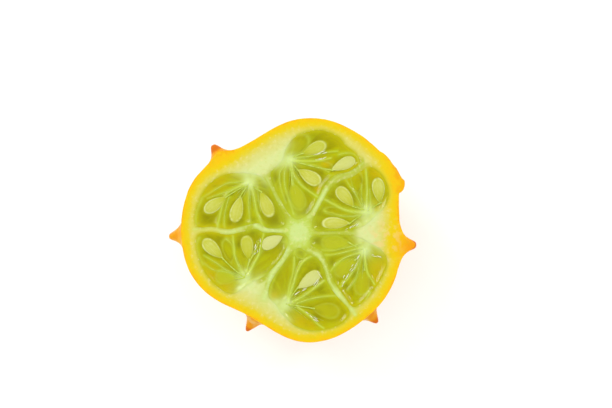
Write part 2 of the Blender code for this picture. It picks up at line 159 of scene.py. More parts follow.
# The seeds and strands.
SEED_WIDTH = 4.35
SEED_WIDTHS = (0.95, 1.05)  # shares of that, for the narrowest and the widest
SEED_THICKNESS = 1.25
SEED_TAPER = 0.40  # 0 is an ellipse, more is drawn out further to a point
SEED_FULLNESS = 1.2
SEED_DOME = (2.4, 0.62)  # powers: how flat its middle is, and how round its edge
SEED_RIM = 0.05  # how far a seed's rim stands proud, against its thickness
SEED_RIM_REACH = 0.86  # where the rim lies, 0 in the middle and 1 at the edge
SEED_RIM_WIDTH = 0.07
SEED_SIDES = 36
SEED_BANDS = 18
SEED_LEVEL = -0.58  # the middle of a bare seed, from the cut face
SEED_SINK = 0.28  # how much deeper the middle of the deepest one lies
SEED_BURIED = 0.6  # a seed that is given as deeper than this is covered by the jelly
BURIED_SINK = 0.55  # and lies this much deeper again
SEED_TILT = 0.05  # radians, the most that a seed tilts
STRAND_STEPS = 5  # points of a strand from one corner to the next
STRAND_SIDES = 8
STRAND_WIDTH = 0.46
STRAND_LEVEL = -0.30  # the strands' level at their knot, from the cut face
STRAND_FALL = 0.14  # how much lower a strand's far end lies
VEIL_REACH = 1.6  # how far a strand's veil spreads, against its width
STALK_WIDTH = 0.45
STALK_DROP = 0.10  # how far below the strands a stalk starts
STALK_FALL = 0.10
STALK_OVERLAP = 0.7  # how far a stalk runs into its seed
KNOT_GLOW = 2.0  # how far the pale of a knot spreads
THREADS_BY_STRAND = 2
THREAD_POINTS = 10
THREAD_SPREAD = 9.0  # degrees to either side of its strand
THREAD_LENGTHS = (0.2, 0.7)  # shares of its strand's
THREAD_BEND = 0.3
THREAD_WIDTH = 0.16
THREAD_DROP = 0.05
THREAD_FALL = 0.25
GLINT_WIDTH = 0.21
GLINT_TIP = 0.015  # half the width that a glint's ends keep
GLINT_LENGTHS = (0.7, 2.4)  # the shortest and the longest
GLINT_BEND = 0.1
GLINT_TURN = 0.15  # radians to either side of its band
GLINT_LEVEL = -0.25

# Each fan: its knot, the corners of its pocket, its strands as (width, how pale, points), its
# seeds as (pointed end, round end, how deep it lies in the jelly, 0 to 1), its empty sacs as
# (pointed end, round end, width), and its flesh-pale, amber and deep places as (x, y, reach).
FANS = (
    {
        "knot": (21.4, 5.6),
        "pocket": (
            (4.4, 1.4), (5.3, 4.4), (7.5, 8.4), (9.8, 12.2), (12.9, 14.8), (16.9, 16.2),
            (20.6, 18.6), (23.0, 19.0), (26.0, 16.4), (27.9, 11.7), (26.9, 7.1), (23.8, 4.0),
            (20.6, 1.2), (15.8, -0.2), (9.7, -0.5), (5.8, -0.5),
        ),
        "strands": (
            (0.9, 0.9, ((20.4, 5.1), (15.3, 5.8), (11.7, 7.4), (8.2, 9.3))),
            (0.6, 0.5, ((19.6, 7.4), (18.0, 10.3), (15.9, 13.5), (14.3, 16.4))),
            (0.7, 0.9, ((21.1, 6.4), (21.3, 12.4), (21.0, 17.7), (20.7, 20.9))),
            (0.7, 0.4, ((20.1, 6.6), (19.6, 9.8), (19.7, 13.5))),
            (0.8, 0.5, ((19.6, 4.5), (16.4, 4.0), (12.7, 4.4), (8.5, 5.6))),
            (0.7, 0.5, ((22.5, 5.3), (22.3, 8.5), (22.1, 12.4))),
        ),
        "seeds": (
            ((25.2, 8.0), (24.6, 16.1), 0.25),
            ((17.4, 6.9), (11.9, 13.1), 0.35),
            ((16.2, 2.0), (7.3, 1.8), 0.15),
        ),
        "sacs": (((18.4, 11.5), (18.0, 17.3), 3.0), ((17.8, 4.6), (9.0, 5.9), 2.2)),
        "fleshy": ((21.0, 3.0, 1.8), (23.2, 4.2, 1.4), (18.8, 1.6, 1.2)),
        "amber": ((24.3, 17.2, 2.6), (24.8, 6.6, 2.2)),
        "deep": ((17.6, 10.6, 1.6), (12.7, 15.0, 1.7), (9.6, 9.4, 1.3), (5.6, 5.4, 1.6)),
    },
    {
        "knot": (-2.5, 21.4),
        "pocket": (
            (0.0, 3.0), (3.8, 5.2), (6.2, 9.4), (8.4, 13.6), (11.4, 16.6), (15.6, 17.8),
            (19.0, 20.4), (17.8, 23.4), (14.8, 25.8), (12.4, 28.6), (6.8, 30.5), (0.2, 29.0),
            (-3.4, 25.4), (-5.0, 21.0), (-8.2, 17.4), (-7.4, 13.4), (-5.5, 9.7), (-3.0, 5.2),
        ),
        "strands": (
            (0.8, 0.9, ((-1.8, 21.1), (1.9, 21.0), (5.9, 21.1), (10.1, 21.9))),
            (0.7, 0.6, ((-1.3, 20.9), (2.7, 20.1), (6.4, 19.3), (9.6, 17.7))),
            (0.8, 0.8, ((-2.0, 20.3), (-1.0, 16.4), (1.6, 13.2), (6.4, 9.8))),
            (0.8, 0.6, ((-2.6, 20.3), (-1.5, 16.6), (-1.5, 13.5))),
            (0.8, 0.6, ((-3.4, 19.8), (-4.1, 16.6), (-3.6, 11.9), (-2.0, 7.2), (-1.3, 4.8))),
            (0.8, 0.5, ((-3.9, 19.8), (-5.5, 17.2), (-5.2, 13.0), (-3.6, 8.2))),
            (0.6, 0.7, ((-1.5, 21.7), (1.4, 22.2), (4.8, 22.7), (9.6, 23.8), (12.2, 24.0))),
            (0.7, 0.4, ((12.7, 23.0), (15.3, 23.5), (18.0, 22.7), (18.8, 20.3))),
        ),
        "seeds": (
            ((1.3, 23.2), (8.9, 26.4), 0.45),
            ((10.3, 18.3), (18.1, 21.8), 0.05),
            ((0.0, 18.4), (7.2, 14.1), 0.15),
            ((-1.7, 14.3), (1.1, 6.4), 0.7),
        ),
        "sacs": (((-4.1, 22.6), (2.4, 28.0), 4.2), ((-0.4, 21.4), (9.8, 19.4), 2.2)),
        "fleshy": ((-4.6, 21.0, 1.7),),
        "amber": ((6.2, 12.4, 1.0), (8.5, 20.4, 2.0)),
        "deep": (
            (-6.7, 15.6, 1.6), (4.8, 28.6, 2.2), (2.6, 4.9, 1.6),
            (7.2, 17.4, 1.6), (-2.6, 9.6, 1.2),
        ),
    },
    {
        "knot": (-14.7, 14.25),
        "pocket": (
            (-4.0, 1.2), (-6.5, 0.3), (-9.6, 0.5), (-12.0, 1.9), (-17.2, 0.9), (-21.3, 0.1),
            (-26.0, 0.8), (-30.8, 0.9), (-31.3, 5.6), (-28.6, 12.0), (-24.4, 15.9),
            (-19.0, 17.4), (-12.4, 16.8), (-9.2, 14.2), (-6.6, 9.0), (-3.8, 3.6),
        ),
        "strands": (
            (0.9, 0.8, ((-15.1, 14.3), (-18.7, 12.7), (-21.9, 10.7), (-23.4, 6.0), (-24.6, 0.6))),
            (0.8, 0.45, ((-15.6, 14.5), (-18.7, 14.5), (-22.3, 13.9), (-28.8, 10.0))),
            (0.8, 0.45, ((-16.0, 13.9), (-19.8, 12.3), (-23.7, 10.9), (-27.7, 9.6))),
            (0.8, 0.6, ((-14.7, 13.4), (-14.9, 9.6), (-14.9, 6.0), (-14.5, 2.0))),
            (0.9, 0.8, ((-14.2, 13.6), (-13.3, 9.6), (-12.4, 5.1), (-10.6, 0.8))),
            (0.6, 0.4, ((-12.2, 12.7), (-12.0, 9.1), (-11.3, 5.6))),
            (0.8, 0.4, ((-21.0, 10.0), (-21.9, 6.9), (-22.5, 3.3), (-22.3, 0.4))),
            (0.9, 0.5, ((-29.3, 9.6), (-30.6, 6.7), (-31.3, 3.8), (-31.1, 1.1))),
        ),
        "seeds": (
            ((-21.7, 10.1), (-28.8, 5.3), 0.3),
            ((-17.4, 10.4), (-19.6, 2.1), 0.15),
            ((-11.5, 11.9), (-8.0, 3.8), 0.3),
        ),
        "sacs": (),
        "fleshy": ((-15.6, 16.4, 1.5), (-13.6, 16.4, 1.2)),
        "amber": ((-23.9, 15.0, 2.4), (-27.4, 12.0, 2.4)),
        "deep": (
            (-6.8, 2.6, 2.4), (-27.4, 2.8, 2.4), (-17.9, 1.9, 1.5), (-10.0, 13.4, 1.7),
            (-20.3, 10.9, 0.8), (-13.6, 3.0, 0.8),
        ),
    },
    {
        "knot": (-16.2, -14.7),
        "pocket": (
            (-3.6, -1.7), (-2.9, -4.3), (-5.0, -8.8), (-9.8, -13.9), (-14.6, -16.6),
            (-19.5, -19.7), (-24.4, -17.6), (-28.4, -13.0), (-30.8, -6.6), (-30.6, -1.8),
            (-26.5, -0.8), (-21.5, -1.6), (-17.2, -0.8), (-12.8, 0.1), (-10.2, -1.0),
            (-7.0, -0.9),
        ),
        "strands": (
            (0.8, 0.8, ((-16.9, -13.2), (-18.0, -11.2), (-19.2, -8.0), (-19.8, -2.0))),
            (0.7, 0.9, ((-15.1, -13.9), (-13.3, -10.3), (-11.8, -7.2), (-10.4, -1.3))),
            (0.5, 0.8, ((-15.6, -13.0), (-14.7, -9.8), (-12.9, -6.7), (-12.0, -4.0))),
            (0.8, 0.5, ((-17.8, -13.9), (-21.0, -13.0), (-24.8, -10.3), (-28.6, -8.0))),
            (0.8, 0.4, ((-18.3, -14.3), (-21.9, -13.0), (-25.4, -12.5), (-28.6, -10.5))),
            (0.6, 0.5, ((-21.9, -2.9), (-20.1, -4.7), (-19.6, -7.6))),
            (0.9, 0.5, ((-30.2, -2.7), (-31.1, -4.9), (-30.4, -8.0), (-29.0, -10.7))),
        ),
        "seeds": (
            ((-22.8, -8.9), (-29.1, -3.0), 0.25),
            ((-14.8, -9.6), (-15.9, -1.7), 0.5),
            ((-4.3, -1.8), (-11.2, -5.5), 0.0),
            ((-18.5, -14.9), (-24.8, -14.2), 0.75),
        ),
        "sacs": (((-20.4, -9.6), (-21.6, -3.4), 3.2), ((-14.8, -15.2), (-4.4, -5.2), 5.8)),
        "fleshy": ((-16.4, -16.4, 1.6), (-17.4, -17.8, 1.3), (-14.8, -16.4, 1.2)),
        "amber": ((-26.6, -13.6, 2.8), (-22.0, -18.0, 2.8)),
        "deep": (
            (-13.4, -1.0, 1.3), (-23.7, -3.0, 1.6), (-18.0, -4.5, 1.3), (-12.6, -11.2, 1.1),
            (-27.9, -7.2, 1.5), (-5.6, -3.6, 1.0),
        ),
    },
    {
        "knot": (-3.5, -22.8),
        "pocket": (
            (0.6, -5.6), (3.4, -7.6), (6.6, -9.3), (8.1, -12.6), (9.6, -16.9), (12.3, -20.7),
            (15.8, -24.8), (14.4, -28.0), (10.2, -30.1), (4.6, -30.9), (-0.8, -29.4),
            (-4.8, -26.0), (-6.8, -23.0), (-8.8, -20.6), (-8.3, -16.4), (-4.5, -10.6),
            (-2.0, -7.2),
        ),
        "strands": (
            (0.8, 0.9, ((-2.8, -22.1), (-2.0, -18.6), (-0.2, -13.4), (1.6, -10.0), (4.8, -7.8))),
            (0.8, 0.9, ((-1.3, -22.1), (1.6, -20.5), (5.1, -18.1), (8.2, -15.7))),
            (0.8, 0.7, ((-0.2, -22.6), (3.8, -21.3), (8.0, -20.5), (11.9, -20.2))),
            (0.6, 0.9, ((0.1, -23.7), (3.5, -26.3), (5.9, -28.7), (8.0, -30.2))),
            (0.8, 0.7, ((-3.2, -21.5), (-2.5, -17.6), (-1.4, -13.4), (-1.0, -8.6))),
            (0.8, 0.5, ((13.8, -20.8), (16.1, -23.7), (16.4, -26.5), (14.8, -28.7))),
            (0.8, 0.3, ((-0.7, -6.0), (-0.5, -8.1), (1.6, -8.9), (2.7, -7.3))),
        ),
        "seeds": (
            ((-0.1, -18.1), (7.0, -13.0), 0.02),
            ((4.6, -24.1), (12.4, -25.3), 1.0),
        ),
        "sacs": (((-1.6, -7.4), (-6.4, -23.4), 5.6),),
        "fleshy": ((-4.8, -23.4, 1.6), (-4.8, -24.8, 1.2), (-6.2, -22.2, 1.0)),
        "amber": ((1.1, -28.2, 2.8), (4.3, -29.2, 2.2), (-7.3, -20.3, 1.5)),
        "deep": (
            (-4.2, -16.5, 1.5), (1.0, -6.9, 1.1), (7.4, -18.6, 1.5), (5.4, -27.0, 1.4),
            (6.3, -12.2, 0.7), (-0.2, -9.4, 1.0),
        ),
    },
    {
        "knot": (20.6, -6.55),
        "pocket": (
            (3.9, -2.6), (4.4, -5.0), (7.6, -7.0), (9.8, -12.4), (11.4, -16.4), (14.1, -20.2),
            (17.0, -23.7), (20.8, -21.4), (24.8, -16.4), (27.4, -10.1), (25.6, -6.2),
            (22.2, -4.2), (18.4, -2.2), (13.0, -1.7), (7.0, -1.7),
        ),
        "strands": (
            (0.8, 0.6, ((19.8, -5.5), (13.8, -7.1), (10.1, -7.8), (6.4, -7.8))),
            (0.6, 1.0, ((20.6, -6.3), (20.7, -9.2), (21.4, -13.1), (23.5, -16.8))),
            (0.7, 0.7, ((19.3, -7.1), (15.1, -8.4), (12.2, -10.2), (9.6, -13.4))),
            (0.7, 0.7, ((19.8, -7.3), (18.0, -11.3), (15.9, -14.4), (13.0, -17.6))),
            (0.8, 0.5, ((19.8, -6.8), (18.8, -11.3), (17.5, -15.5), (15.3, -18.6))),
            (0.6, 0.8, ((22.2, -19.2), (20.6, -22.1), (18.8, -24.7))),
            (0.8, 0.5, ((19.3, -4.4), (15.3, -5.5), (11.1, -6.5), (7.4, -6.3))),
        ),
        "seeds": (
            ((16.0, -4.1), (7.6, -4.0), 0.65),
            ((17.9, -9.0), (11.9, -13.6), 0.8),
            ((20.5, -11.9), (19.2, -19.7), 0.95),
        ),
        "sacs": (),
        "fleshy": ((21.4, -4.6, 1.5), (19.2, -3.4, 1.2)),
        "amber": ((24.8, -11.6, 2.8), (24.0, -14.8, 2.4)),
        "deep": ((5.6, -3.4, 1.4), (17.2, -13.6, 1.4), (10.4, -10.2, 1.3), (15.2, -17.6, 1.3)),
    },
)

SEED_NODES = [f"seeds_{number}" for number in range(1, len(FANS) + 1)]

# The pale lines in the walls between the pockets, as (width, how pale, points). One stretch
# far from the core is as thin and green as the walls near it.
THIN_WALL = ((8.8, 12.4), (11.0, 15.2), (13.8, 16.9), (17.2, 18.0), (20.2, 20.6))
WALL_LINES = (
    (0.6, 0.7, ((-9.5, 15.9), (-7.5, 11.8), (-5.5, 8.5), (-3.2, 5.8), (-1.9, 2.9))),
    (0.5, 0.6, ((-31.7, 0.1), (-28.1, 0.5), (-25.0, 0.3), (-22.8, -1.0), (-20.1, -0.9))),
    (0.7, 0.8, ((-20.1, -0.9), (-17.4, 0.3), (-15.1, 1.4), (-12.9, 1.4), (-10.2, 0.0))),
    (1.3, 1.3, ((-12.9, 1.4), (-10.2, 0.0), (-6.6, -0.4), (-3.0, -0.6))),
    (1.7, 1.35, ((-3.0, -6.0), (-4.8, -9.2), (-6.8, -12.1), (-8.4, -15.2), (-10.2, -21.1))),
    (0.7, 1.1, ((3.2, -6.3), (5.9, -7.8), (7.9, -10.0), (9.0, -13.0), (9.9, -16.2))),
    (0.5, 0.8, ((9.9, -16.2), (12.6, -20.0), (15.0, -22.9), (16.8, -25.2))),
    (1.3, 1.1, ((5.6, -7.3), (6.9, -8.2))),
    (1.4, 1.1, ((11.4, -18.9), (12.6, -20.4))),
    (1.2, 1.0, ((16.2, -24.0), (17.6, -26.0))),
    (0.6, 0.45, ((2.4, -0.9), (8.5, -1.1), (13.8, -1.0), (17.6, -1.2))),
    (1.3, 1.35, ((2.7, 2.9), (4.6, 5.1), (6.9, 9.0), (8.8, 12.4))),
    (0.5, 0.6, THIN_WALL),
)

# Painted highlights, slivers coloured nearly white, as (width, how many, points) of each band.
PAINTED_GLINTS = (
    (1.0, 4, ((-14.8, -10.4), (-13.6, -7.6), (-12.6, -5.2))),
    (0.6, 4, ((-12.4, -8.2), (-11.8, -5.6), (-11.3, -2.0))),
    (0.7, 6, ((4.9, 22.7), (7.0, 23.4), (9.5, 23.9))),
    (0.4, 4, ((5.4, 21.4), (6.9, 21.6), (8.4, 22.1))),
    (1.8, 11, ((12.9, -17.2), (14.6, -14.6), (16.8, -11.6), (19.1, -8.2))),
    (0.7, 5, ((6.2, -12.6), (7.0, -14.2), (6.2, -15.6))),
    (0.9, 4, ((-1.0, -20.2), (0.6, -19.2), (2.0, -18.5))),
    (0.8, 5, ((2.0, -25.0), (3.9, -26.4), (5.3, -27.3))),
    (1.2, 6, ((18.4, 2.3), (16.9, 1.0), (15.0, -0.2))),
    (0.3, 5, ((-9.6, -1.2), (-7.4, -0.9), (-5.2, -0.9))),
    (0.6, 4, ((22.0, -7.6), (23.8, -8.0), (25.4, -8.4))),
)

# The camera, in millimetres, and the floor and the lamps, in metres, from the frame's origin.
LENS = 96.0
CAMERA_DISTANCE = 500.0
CAMERA_ELEVATION = 87.0  # degrees above the floor
CAMERA_TARGET = (4.2, 7.45)
FLOOR_WIDTH = 4.0
FLOOR_ROUGHNESS = 0.9
EXPOSURE = 1.30  # how much light falls on the cut face, against what shows a colour as it is
ROOM_LIGHT = 1.12
ROOM_GLOSS = 0.04  # what the wet parts mirror of the room
LAMPS = (  # (name, place, width, power)
    ("key", (-0.45, 0.35, 0.65), 0.30, 1.6),
    ("glint", (0.40, 0.30, 0.55), 0.10, 0.5),
)

# How each material takes the light, in the order of these sockets of its shader. A row that
# is shorter leaves the rest of them as they are.
SURFACE_SOCKETS = (
    "Subsurface Weight",
    "Subsurface Scale",
    "Subsurface Radius",
    "Specular IOR Level",
    "Coat Weight",
    "Coat Roughness",
)
SURFACES = {
    "waxy_skin": (0.20, 1.0 * MM, (1.0, 0.45, 0.12), 0.12, 0.06, 0.30),
    "cut_flesh": (0.40, 1.2 * MM, (1.0, 0.85, 0.30), 0.12, 0.06, 0.20),
    "wet_jelly": (0.50, 1.0 * MM, (0.9, 1.0, 0.2), 0.15, 0.35, 0.08),
    "seed_coat": (0.30, 0.7 * MM, (1.0, 0.9, 0.4), 0.10, 0.03, 0.15),
    "pale_strand": (0.15, 0.3 * MM, (0.9, 1.0, 0.4), 0.05),
    "pale_floor": (),
}


# Small tools


def tone(red, green, blue):
    """A colour given as it looks under the lamps, 0 to 255, in a shader's linear values."""
    given = (channel / 255.0 for channel in (red, green, blue))
    linear = (c / 12.92 if c <= 0.04045 else ((c + 0.055) / 1.055) ** 2.4 for c in given)
    return (*(channel / EXPOSURE for channel in linear), 1.0)


def smooth_path(corners, steps, closed=True):
    """A smooth curve through the corners (Catmull-Rom), as an array of points."""
    corners = np.array(corners, float)
    if closed:
        before, after, beyond = (np.roll(corners, shift, axis=0) for shift in (1, -1, -2))
    else:
        before = np.vstack((corners[:1], corners[:-2]))
        after = corners[1:]
        beyond = np.vstack((corners[2:], corners[-1:]))
        corners = corners[:-1]
    path = []
    for a, b, c, d in zip(before, corners, after, beyond):
        for t in np.arange(steps) / steps:
            square = (2.0 * a - 5.0 * b + 4.0 * c - d) * t**2
            cube = (3.0 * b - a - 3.0 * c + d) * t**3
            path.append(0.5 * (2.0 * b + (c - a) * t + square + cube))
    if not closed:
        path.append(after[-1])
    return np.array(path)


def nearest_on_path(points, path, closed=False):
    """Each point's distance to the path, and how far along the path it comes nearest, 0 to 1."""
    starts = path if closed else path[:-1]
    ends = np.roll(path, -1, axis=0) if closed else path[1:]
    best = np.full(len(points), np.inf)
    along = np.zeros(len(points))
    for index, (start, end) in enumerate(zip(starts, ends)):
        run = end - start
        share = np.clip((points - start) @ run / max(run @ run, 1e-12), 0.0, 1.0)
        gap = np.linalg.norm(points - start - share[:, None] * run, axis=1)
        nearer = gap < best
        best[nearer] = gap[nearer]
        along[nearer] = (index + share[nearer]) / len(starts)
    return best, along


def is_inside(points, outline):
    """Which plan points lie inside a closed outline."""
    x, y = points[:, 0], points[:, 1]
    inside = np.zeros(len(points), bool)
    for (x1, y1), (x2, y2) in zip(outline, np.roll(outline, -1, axis=0)):
        if y1 != y2:
            crosses = (y1 > y) != (y2 > y)
            inside ^= crosses & (x < x1 + (x2 - x1) * (y - y1) / (y2 - y1))
    return inside


def honeycomb(low, high, pitch):
    """Points at an even pitch over a rectangle, every second row half a step along."""
    row_pitch = pitch * math.sqrt(0.75)
    rows = np.arange(low[1], high[1], row_pitch)
    columns = np.arange(low[0], high[0], pitch)
    x, y = np.meshgrid(columns, rows)
    x[1::2] += pitch / 2.0
    return np.column_stack((x.ravel(), y.ravel()))


def fill_outline(outline, holes, pitch):
    """Even triangles over an outline with holes, as (plan points, triangles)."""
    loops = [outline, *holes]
    loose = honeycomb(outline.min(axis=0), outline.max(axis=0), pitch)
    loose = loose[is_inside(loose, outline)]
    for hole in holes:
        loose = loose[~is_inside(loose, hole)]
    for loop in loops:
        loose = loose[nearest_on_path(loose, loop, closed=True)[0] > pitch * EDGE_CLEARANCE]
    given = []
    edges = []
    for loop in loops:
        first, count = len(given), len(loop)
        given += [Vector(point) for point in loop]
        edges += [(first + i, first + (i + 1) % count) for i in range(count)]
    given += [Vector(point) for point in loose]
    points, _, triangles, *_ = delaunay_2d_cdt(given, edges, [], 0, 1e-6)
    points = np.array([tuple(point) for point in points])
    triangles = np.array([tuple(triangle) for triangle in triangles])
    middles = points[triangles].mean(axis=1)
    keep = is_inside(middles, outline)
    for hole in holes:
        keep &= ~is_inside(middles, hole)
    return points, triangles[keep]


def widen(outline, distance):
    """A closed outline (run anticlockwise) moved outwards by a distance."""
    run = np.roll(outline, -1, axis=0) - np.roll(outline, 1, axis=0)
    run /= np.linalg.norm(run, axis=1, keepdims=True)
    return outline + distance * np.column_stack((run[:, 1], -run[:, 0]))


def anticlockwise(outline):
    """The same outline, run anticlockwise."""
    ahead = np.roll(outline, -1, axis=0)
    area = np.sum(outline[:, 0] * ahead[:, 1] - ahead[:, 0] * outline[:, 1])
    return outline if area > 0.0 else outline[::-1]


def ease(values):
    """0 to 1, with a soft start and end."""
    values = np.clip(values, 0.0, 1.0)
    return values * values * (3.0 - 2.0 * values)


def bump(values, width):
    """1 at zero, falling away evenly on both sides."""
    return np.exp(-((values / width) ** 2))


def lift(points, height):
    """Plan points given their heights."""
    return np.column_stack((points, np.broadcast_to(height, len(points))))


def place(points):
    """Points in millimetres from the core, in the frame's own metres."""
    return (np.asarray(points, float) + (*CORE, 0.0)) * MM


def placed_points(mesh):
    """A finished mesh's points, back in millimetres from the core."""
    points = np.empty(3 * len(mesh.vertices))
    mesh.vertices.foreach_get("co", points)
    return points.reshape(-1, 3) / MM - (*CORE, 0.0)


def mark(mesh, **marks):
    """Keeps numbers, or vectors, for each point of a mesh, for its material to read."""
    for name, values in marks.items():
        values = np.asarray(values, np.float32)
        kind, field = ("FLOAT_VECTOR", "vector") if values.ndim == 2 else ("FLOAT", "value")
        mesh.attributes.new(name, kind, "POINT").data.foreach_set(field, values.ravel())


def shares(line):
    """How far along a line each of its points comes, 0 to 1."""
    return np.linspace(0.0, 1.0, len(line))


def heading(run):
    """The direction of a plan vector, as an angle."""
    return math.atan2(run[1], run[0])


def points_of(mesh):
    """The points of a mesh in the making."""
    return np.array([point.co[:] for point in mesh.verts])


def seed_taper(along):
    """A seed's width along it, from its pointed end at -1 to its round end at 1."""
    return SEED_FULLNESS * ((1.0 + along) / 2.0) ** SEED_TAPER


def add_sheet(mesh, points, faces, material=0):
    """Adds points and faces to a mesh in the making."""
    corners = [mesh.verts.new(point) for point in points]
    for face in faces:
        mesh.faces.new([corners[i] for i in face]).material_index = material


def wall_faces(count, rings):
    """The faces down a stack of rings of as many points each, facing out."""
    steps = [(i, (i + 1) % count) for i in range(count)]
    faces = []
    for ring in range(rings - 1):
        upper = ring * count
        lower = upper + count
        faces += [(upper + i, lower + i, lower + j, upper + j) for i, j in steps]
    return faces


def finish_mesh(name, mesh):
    """A smooth-shaded Blender mesh in the frame's metres, from one in millimetres."""
    for point in mesh.verts:
        point.co = place(point.co[:])
    finished = bpy.data.meshes.new(name)
    mesh.to_mesh(finished)
    mesh.free()
    finished.shade_smooth()
    finished.set_sharp_from_angle(angle=math.radians(SHARP_EDGE))
    return finished


def add_object(name, data):
    """Puts a new object in the scene."""
    thing = bpy.data.objects.new(name, data)
    bpy.context.scene.collection.objects.link(thing)
    return thing


def add_piece(name, mesh, slot, *nodes, materials=()):
    """Puts a finished piece in the scene, in the place of the solids that it stands for."""
    piece = add_object(name, mesh)
    for material in materials:
        mesh.materials.append(material)
    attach(piece, "root")
    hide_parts(*nodes)


# The fruit's own shape


def rim_radius(angle):
    """How far the body reaches from the core on the cut face."""
    waves = (height * np.cos(n * (angle - math.radians(crest))) for n, height, crest in LOBING)
    return MEAN_RADIUS + sum(waves)


def width_at(share):
    """The body's width at a share of its depth, against its width at the cut."""
    return (1.0 - np.minimum(np.abs(share), 1.0) ** BODY_FULLNESS) ** (1.0 / BODY_FULLNESS)


def body_point(angle, share):
    """A point of the body at an angle round it and a share of its depth."""
    width = width_at(share)
    radius = width * (MEAN_RADIUS + (rim_radius(angle) - MEAN_RADIUS) * width)
    height = CUT_HEIGHT - BODY_DEPTH * share + np.zeros_like(radius)
    return np.stack((radius * np.cos(angle), radius * np.sin(angle), height), axis=-1)


def body_normal(angle, share):
    """The direction straight out of the body."""
    down = body_point(angle, share + 0.01) - body_point(angle, share - 0.01)
    along = body_point(angle + 0.01, share) - body_point(angle - 0.01, share)
    normal = np.cross(down, along)
    return normal / np.linalg.norm(normal)


def horn_sites():
    """Each horn as in RIM_HORNS, but in radians; the feet and the shoulders come last."""
    draw = random.Random(RANDOM_SEED)
    sites = [(math.radians(angle), *rest) for angle, *rest in RIM_HORNS]
    rows = ((SIDE_HORN_ANGLES, SIDE_HORN_DEPTH), (LOW_HORN_ANGLES, LOW_HORN_DEPTH))
    for angles, row_depth in rows:
        for row_angle in angles:
            depth = row_depth + draw.uniform(-HORN_SCATTER, HORN_SCATTER)
            scatter = draw.uniform(-HORN_SCATTER, HORN_SCATTER) / MEAN_RADIUS
            spread = draw.uniform(-HORN_LENGTH_SPREAD, HORN_LENGTH_SPREAD)
            length = HORN_LENGTH * (1.0 + spread)
            sites.append((math.radians(row_angle) + scatter, depth, length, 1.0, 1.0))
    sites += [(math.radians(angle), FOOT_DEPTH, FOOT_LENGTH, 1.0, 1.0) for angle in FOOT_ANGLES]
    return sites + [(math.radians(angle), *rest) for angle, *rest in SHOULDERS]


def raise_horns(points):
    """Draws the skin out into horns, and says how far up a horn each point lies, 0 to 1."""
    profile = smooth_path(HORN_PROFILE, PROFILE_STEPS, closed=False)
    steps = np.linalg.norm(np.diff(profile, axis=0), axis=1)
    travel = np.concatenate(([0.0], np.cumsum(steps)))
    reach = profile[-1, 0]
    peak = profile[0, 1]
    draw = random.Random(RANDOM_SEED)
    moved = points.copy()
    climb = np.zeros(len(points))
    for angle, depth, length, stoutness, brown in horn_sites():
        root = body_point(angle, depth / BODY_DEPTH)
        normal = body_normal(angle, depth / BODY_DEPTH)
        lean = np.array([draw.uniform(-1.0, 1.0) for _ in range(3)])
        lean *= 0.0 if depth == FOOT_DEPTH else math.tan(math.radians(HORN_LEAN))
        offset = points - root
        rise = offset @ normal
        flat = offset - rise[:, None] * normal
        away = np.linalg.norm(flat, axis=1)
        near = (away < reach) & (rise > -reach)
        along = away * travel[-1] / reach
        share = np.interp(along, travel, profile[:, 1]) / peak
        height = share * (length + HORN_ROOT_LIFT)
        radius = np.interp(along, travel, profile[:, 0])
        waist = 1.0 - 2.0 * share * (1.0 - share)
        swelling = np.clip((reach - radius) / (reach - HORN_FOOT), 0.0, 1.0)
        radius *= 1.0 + (stoutness - 1.0) * waist * swelling
        draw_in = (radius / np.maximum(away, 1e-6))[:, None]
        skin = root + flat * draw_in + rise[:, None] * normal * draw_in**2
        target = skin + height[:, None] * (normal + lean)
        moved[near] += (target - points)[near]
        browned = share * brown * min(1.0, length / HORN_TIP_BROWN)
        climb[near] = np.maximum(climb, browned)[near]
    return moved, climb


def turn_body():
    """The body's plain surface, from a little above the cut down to its bottom pole."""
    tilts = np.linspace(-SKIN_ABOVE_CUT, math.pi / 2.0, SKIN_RINGS)[:-1]
    depths = np.sign(tilts) * np.abs(np.sin(tilts)) ** (2.0 / BODY_FULLNESS)
    turns = np.arange(SKIN_SEGMENTS) * math.tau / SKIN_SEGMENTS
    points = body_point(turns[None, :], depths[:, None]).reshape(-1, 3)
    faces = wall_faces(SKIN_SEGMENTS, len(tilts))
    pole = len(points)
    last = pole - SKIN_SEGMENTS
    faces += [(last + i, pole, last + (i + 1) % SKIN_SEGMENTS) for i in range(SKIN_SEGMENTS)]
    body = bmesh.new()
    add_sheet(body, np.vstack((points, body_point(0.0, 1.0))), faces)
    return body


def make_finer(skin):
    """Divides the skin's faces near the horns."""
    roots = [body_point(angle, depth / BODY_DEPTH) for angle, depth, *_ in horn_sites()]
    for reach in FINER_SKIN:
        points = points_of(skin)
        skin.verts.index_update()
        gaps = np.min([np.linalg.norm(points - root, axis=1) for root in roots], axis=0)
        near = gaps < reach
        edges = [e for e in skin.edges if near[e.verts[0].index] and near[e.verts[1].index]]
        bmesh.ops.subdivide_edges(skin, edges=edges, cuts=1, use_grid_fill=True)


def make_uneven(skin):
    """Gives the skin its slow waves and finer ripples."""
    ripple_height, ripple_length = SKIN_RIPPLE
    skin.normal_update()
    for point in skin.verts:
        wave = noise.noise(point.co / SKIN_WAVE_LENGTH)
        ripple = noise.noise(point.co / (ripple_length * SKIN_WAVE_LENGTH))
        point.co += point.normal * SKIN_WAVE * (wave + ripple_height * ripple)


def slice_off(mesh, height, side, kind):
    """Cuts away what lies past a level, and gives the new edge's points or edges."""
    cut = bmesh.ops.bisect_plane(
        mesh,
        geom=[*mesh.verts, *mesh.edges, *mesh.faces],
        plane_co=(0.0, 0.0, height),
        plane_no=(0.0, 0.0, side),
        clear_outer=True,
    )
    return [item for item in cut["geom_cut"] if isinstance(item, kind)]


